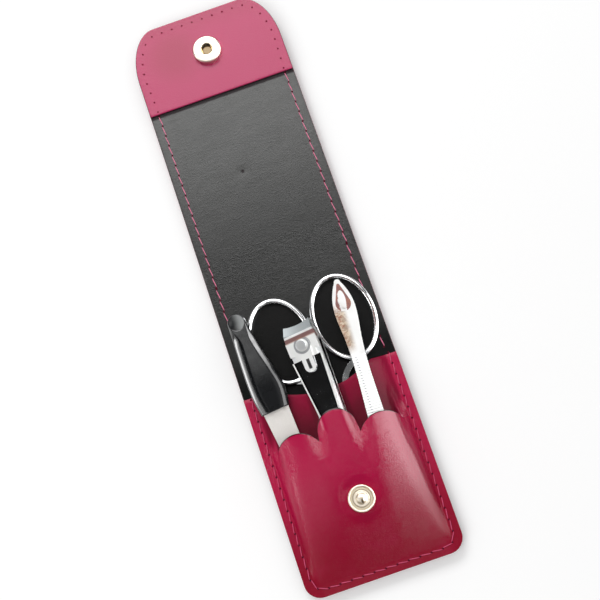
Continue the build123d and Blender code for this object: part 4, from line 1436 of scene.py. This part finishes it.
middle, start, radius = handle["tip"]
tipTurns = np.radians(np.concatenate([np.arange(0, 80, 4.0), [80.0, 83.0, 86.0, 88.0, 89.5]]))
along = np.concatenate([
    [0.0, 0.04, 0.12, 0.25, 0.6],
    np.arange(1.2, 31.5, 0.9),
    np.arange(31.8, start - 0.1, 0.3),
    start + radius * np.sin(tipTurns),
])
onTip = np.sqrt(np.maximum(radius**2 - np.maximum(along - start, 0.0) ** 2, 0.0))
left = np.where(along > start, middle - onTip, curve(along, *handle["left"]))[:, None]
right = np.where(along > start, middle + onTip, curve(along, *handle["right"]))[:, None]
share = 0.5 - 0.5 * np.cos(np.linspace(0.0, np.pi, 61))[None, :]
x, s = left + (right - left) * share, np.broadcast_to(along[:, None], (len(along), 61))
rise, away = handleRise(x, s, left, right)
rise = rise - edgeInset(along)[:, None]
top = np.stack([x, s, rise - dishDepth(x, s)], axis=-1)
under = np.stack([x, s, -rise], axis=-1)[:, -2:0:-1]
loops = np.concatenate([top, under], axis=1)
handlePoints = loops.reshape(-1, 3)
faces = gridFaces(len(along), loops.shape[1], closed=True).tolist()
count = loops.shape[1]
faces += [list(range(count)), list(range(len(handlePoints) - count, len(handlePoints)))]

spaces = {
    "file": toolSpace(-19.2, 69.0, 7.9, 5.4, 4.2),
    "clipper": toolSpace(1.35, 40.0, 7.95, 3.0, 3.0, 15.0),
    "scissors": toolSpace(5.2, 49.6, 2.12, 2.5, 0.0),
    "tweezers": toolSpace(13.4, 23.6, 5.65, -2.9, 4.3),
    "case": {"origin": np.zeros(3), "axes": np.eye(3)},
}


inRow = fromTool(handlePoints, spaces["file"])
fileHandle = makeObject("fileHandle", inRow, faces, [handlePlastic], place=handlePoints)
keepMask(fileHandle, "away", np.concatenate([away, away[:, -2:0:-1]], axis=1))
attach(fileHandle, nodes["file_handle"]["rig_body"])
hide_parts("file_handle")


easing = {"merge": 0.002, "flat": math.radians(0.4), "sharp": math.radians(28.0)}


def dressCad(name, node, space, material, bevel):
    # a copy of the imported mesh: doubles merged, flats joined, edges eased
    source = nodes[node]
    work = bmesh.new()
    work.from_mesh(source.data)
    bmesh.ops.remove_doubles(work, verts=work.verts, dist=easing["merge"] * mm)
    bmesh.ops.dissolve_limit(work, angle_limit=easing["flat"], verts=work.verts, edges=work.edges)
    for face in work.faces:
        face.smooth = True
    for edge in work.edges:
        edge.smooth = not (len(edge.link_faces) == 2 and edge.calc_face_angle(0.0) > easing["sharp"])
    mesh = bpy.data.meshes.new(name)
    work.to_mesh(mesh)
    work.free()
    co = np.empty(len(mesh.vertices) * 3, np.float32)
    mesh.vertices.foreach_get("co", co)
    fromEdge = co.reshape(-1, 3) / mm + np.array([0.0, case["length"] / 2, 0.0])
    kept = mesh.attributes.new("place", "FLOAT_VECTOR", "POINT")
    kept.data.foreach_set("vector", intoTool(fromEdge, spaces[space]).astype(np.float32).ravel())
    mesh.materials.append(material)
    thing = bpy.data.objects.new(name, mesh)
    bpy.context.scene.collection.objects.link(thing)
    if bevel:
        eased = {"width": bevel * mm, "segments": 2, "limit_method": "ANGLE", "angle_limit": easing["sharp"]}
        modifier(thing, "BEVEL", harden_normals=True, **eased)
    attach(thing, source["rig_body"])
    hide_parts(node)


dressed = {
    "fileBlade": ("file_blade", "file", fileSteel, 0.08, "file_steel"),
    "clipperLowerArm": ("clipper_lower_arm", "clipper", lowerArmSteel, 0.0, "tool_steel"),
    "clipperUpperArm": ("clipper_upper_arm", "clipper", upperArmSteel, 0.0, "tool_steel"),
    "clipperLever": ("clipper_lever", "clipper", leverSteel, 0.0, "tool_steel"),
    "clipperPin": ("clipper_pin", "clipper", pinSteel, 0.15, "tool_steel"),
    "clipperRivet": ("clipper_rivet", "clipper", chrome, 0.1, "tool_steel"),
    "scissorLeft": ("scissor_left_half", "scissors", chrome, 0.1, "tool_steel"),
    "scissorRight": ("scissor_right_half", "scissors", chrome, 0.1, "tool_steel"),
    "scissorsScrew": ("scissors_screw", "scissors", chrome, 0.05, "tool_steel"),
    "tweezersLowerArm": ("tweezers_lower_arm", "tweezers", tweezersSteel, 0.05, "tool_steel"),
    "tweezersUpperArm": ("tweezers_upper_arm", "tweezers", tweezersSteel, 0.05, "tool_steel"),
    "snapStud": ("snap_stud", "case", studNickel, 0.08, "snap_metal"),
    "snapStudPost": ("snap_stud_post", "case", nickel, 0.05, "snap_metal"),
    "snapSocket": ("snap_socket", "case", socketNickel, 0.08, "snap_metal"),
    "snapSocketSpring": ("snap_socket_spring", "case", brass, 0.0, "spring_metal"),
    "snapCap": ("snap_cap", "case", capNickel, 0.1, "snap_metal"),
}
for name, (node, space, material, bevel, slot) in dressed.items():
    dressCad(name, node, space, material, bevel)
print("stage: metal and plastic")


studio = {
    "floor": (0.93, 0.93, 0.93, 1.0),
    "floorHalf": 1.5,
    "floorLevel": -0.0012,
    "floorGlow": 0.12,
    "soft": 0.55,
    # the sky's height where it starts to darken and where it ends, and its brightness at each
    "sky": (0.22, 0.62, 0.5, 0.03),
    # reflected lights, in degrees: leaning to the right and to the flap, full inside, gone outside
    # the last number is how bright
    "patches": (
        ((-22.0, -22.0), 6.0, 18.0, 0.8),
        ((-46.0, -8.0), 10.0, 24.0, 1.5),
        ((0.0, 1.0), 9.0, 18.0, 1.0),
        ((0.0, 42.0), 20.0, 30.0, 5.6),
        ((4.0, 9.0), 3.0, 8.0, 0.12),
        ((-34.0, 3.0), 10.0, 18.0, 0.01),
        ((-66.0, 8.0), 7.0, 12.0, 8.0),
        ((60.0, -17.0), 30.0, 35.0, 7.0),
        ((27.0, -26.0), 5.0, 10.0, 4.5),
        ((10.0, -33.0), 4.0, 8.5, 3.6),
    ),
    "key": {"at": (-0.15, 0.95, 0.95), "size": (0.9, 0.6), "power": 7.0},
    "fill": {"at": (-0.7, -0.5, 0.9), "size": (0.8, 0.8), "power": 4.0},
}

world = bpy.data.worlds.new("studio")
bpy.context.scene.world = world
world.use_nodes = True
world.cycles.sampling_method = "NONE"
tree = world.node_tree
tree.nodes.clear()
output = tree.nodes.new("ShaderNodeOutputWorld")
direction = add(tree, "TexCoord").outputs["Generated"]
level = ramp(tree, axesOf(tree, direction)[2], *studio["sky"])
for towards, inner, outer, strength in studio["patches"]:
    aim = Vector([math.tan(math.radians(lean)) for lean in towards] + [1.0]).normalized()
    turned = vectorMaths(tree, "DOT_PRODUCT", direction, tuple(aim))
    patch = ramp(tree, turned, math.cos(math.radians(outer)), math.cos(math.radians(inner)))
    level = mixFloat(tree, patch, level, strength)
paths = add(tree, "LightPath").outputs
level = mixFloat(tree, paths["Is Glossy Ray"], studio["soft"], level)
level = mixFloat(tree, paths["Is Camera Ray"], level, 1.0)
grey = add(tree, "CombineColor", {0: level, 1: level, 2: level}).outputs[0]
background = add(tree, "Background", {"Color": grey})
tree.links.new(background.outputs[0], output.inputs["Surface"])

matt = {"Roughness": 0.9, "Specular IOR Level": 0.0}
floorMaterial, tree, shader = newMaterial("floorPaper", studio["floor"], matt)
glow = product(tree, add(tree, "LightPath").outputs["Is Camera Ray"], studio["floorGlow"])
setInputs(tree, shader, {"Emission Color": (1.0, 1.0, 1.0, 1.0), "Emission Strength": glow})
floorMesh = bpy.data.meshes.new("floor")
reach = studio["floorHalf"]
corners = ((-reach, -reach), (reach, -reach), (reach, reach), (-reach, reach))
floorMesh.from_pydata([(x, y, studio["floorLevel"]) for x, y in corners], [], [(0, 1, 2, 3)])
floorMesh.materials.append(floorMaterial)
floor = bpy.data.objects.new("floor", floorMesh)
bpy.context.scene.collection.objects.link(floor)
floor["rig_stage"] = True

for name in ("key", "fill"):
    lamp = studio[name]
    data = bpy.data.lights.new(name, "AREA")
    data.shape = "RECTANGLE"
    data.size, data.size_y = lamp["size"]
    data.energy = lamp["power"]
    thing = bpy.data.objects.new(name, data)
    thing.location = lamp["at"]
    thing.rotation_mode = "QUATERNION"
    thing.rotation_quaternion = (-Vector(lamp["at"])).to_track_quat("-Z", "Y")
    thing.visible_glossy = False
    bpy.context.scene.collection.objects.link(thing)
print("stage: studio")

low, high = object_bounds()
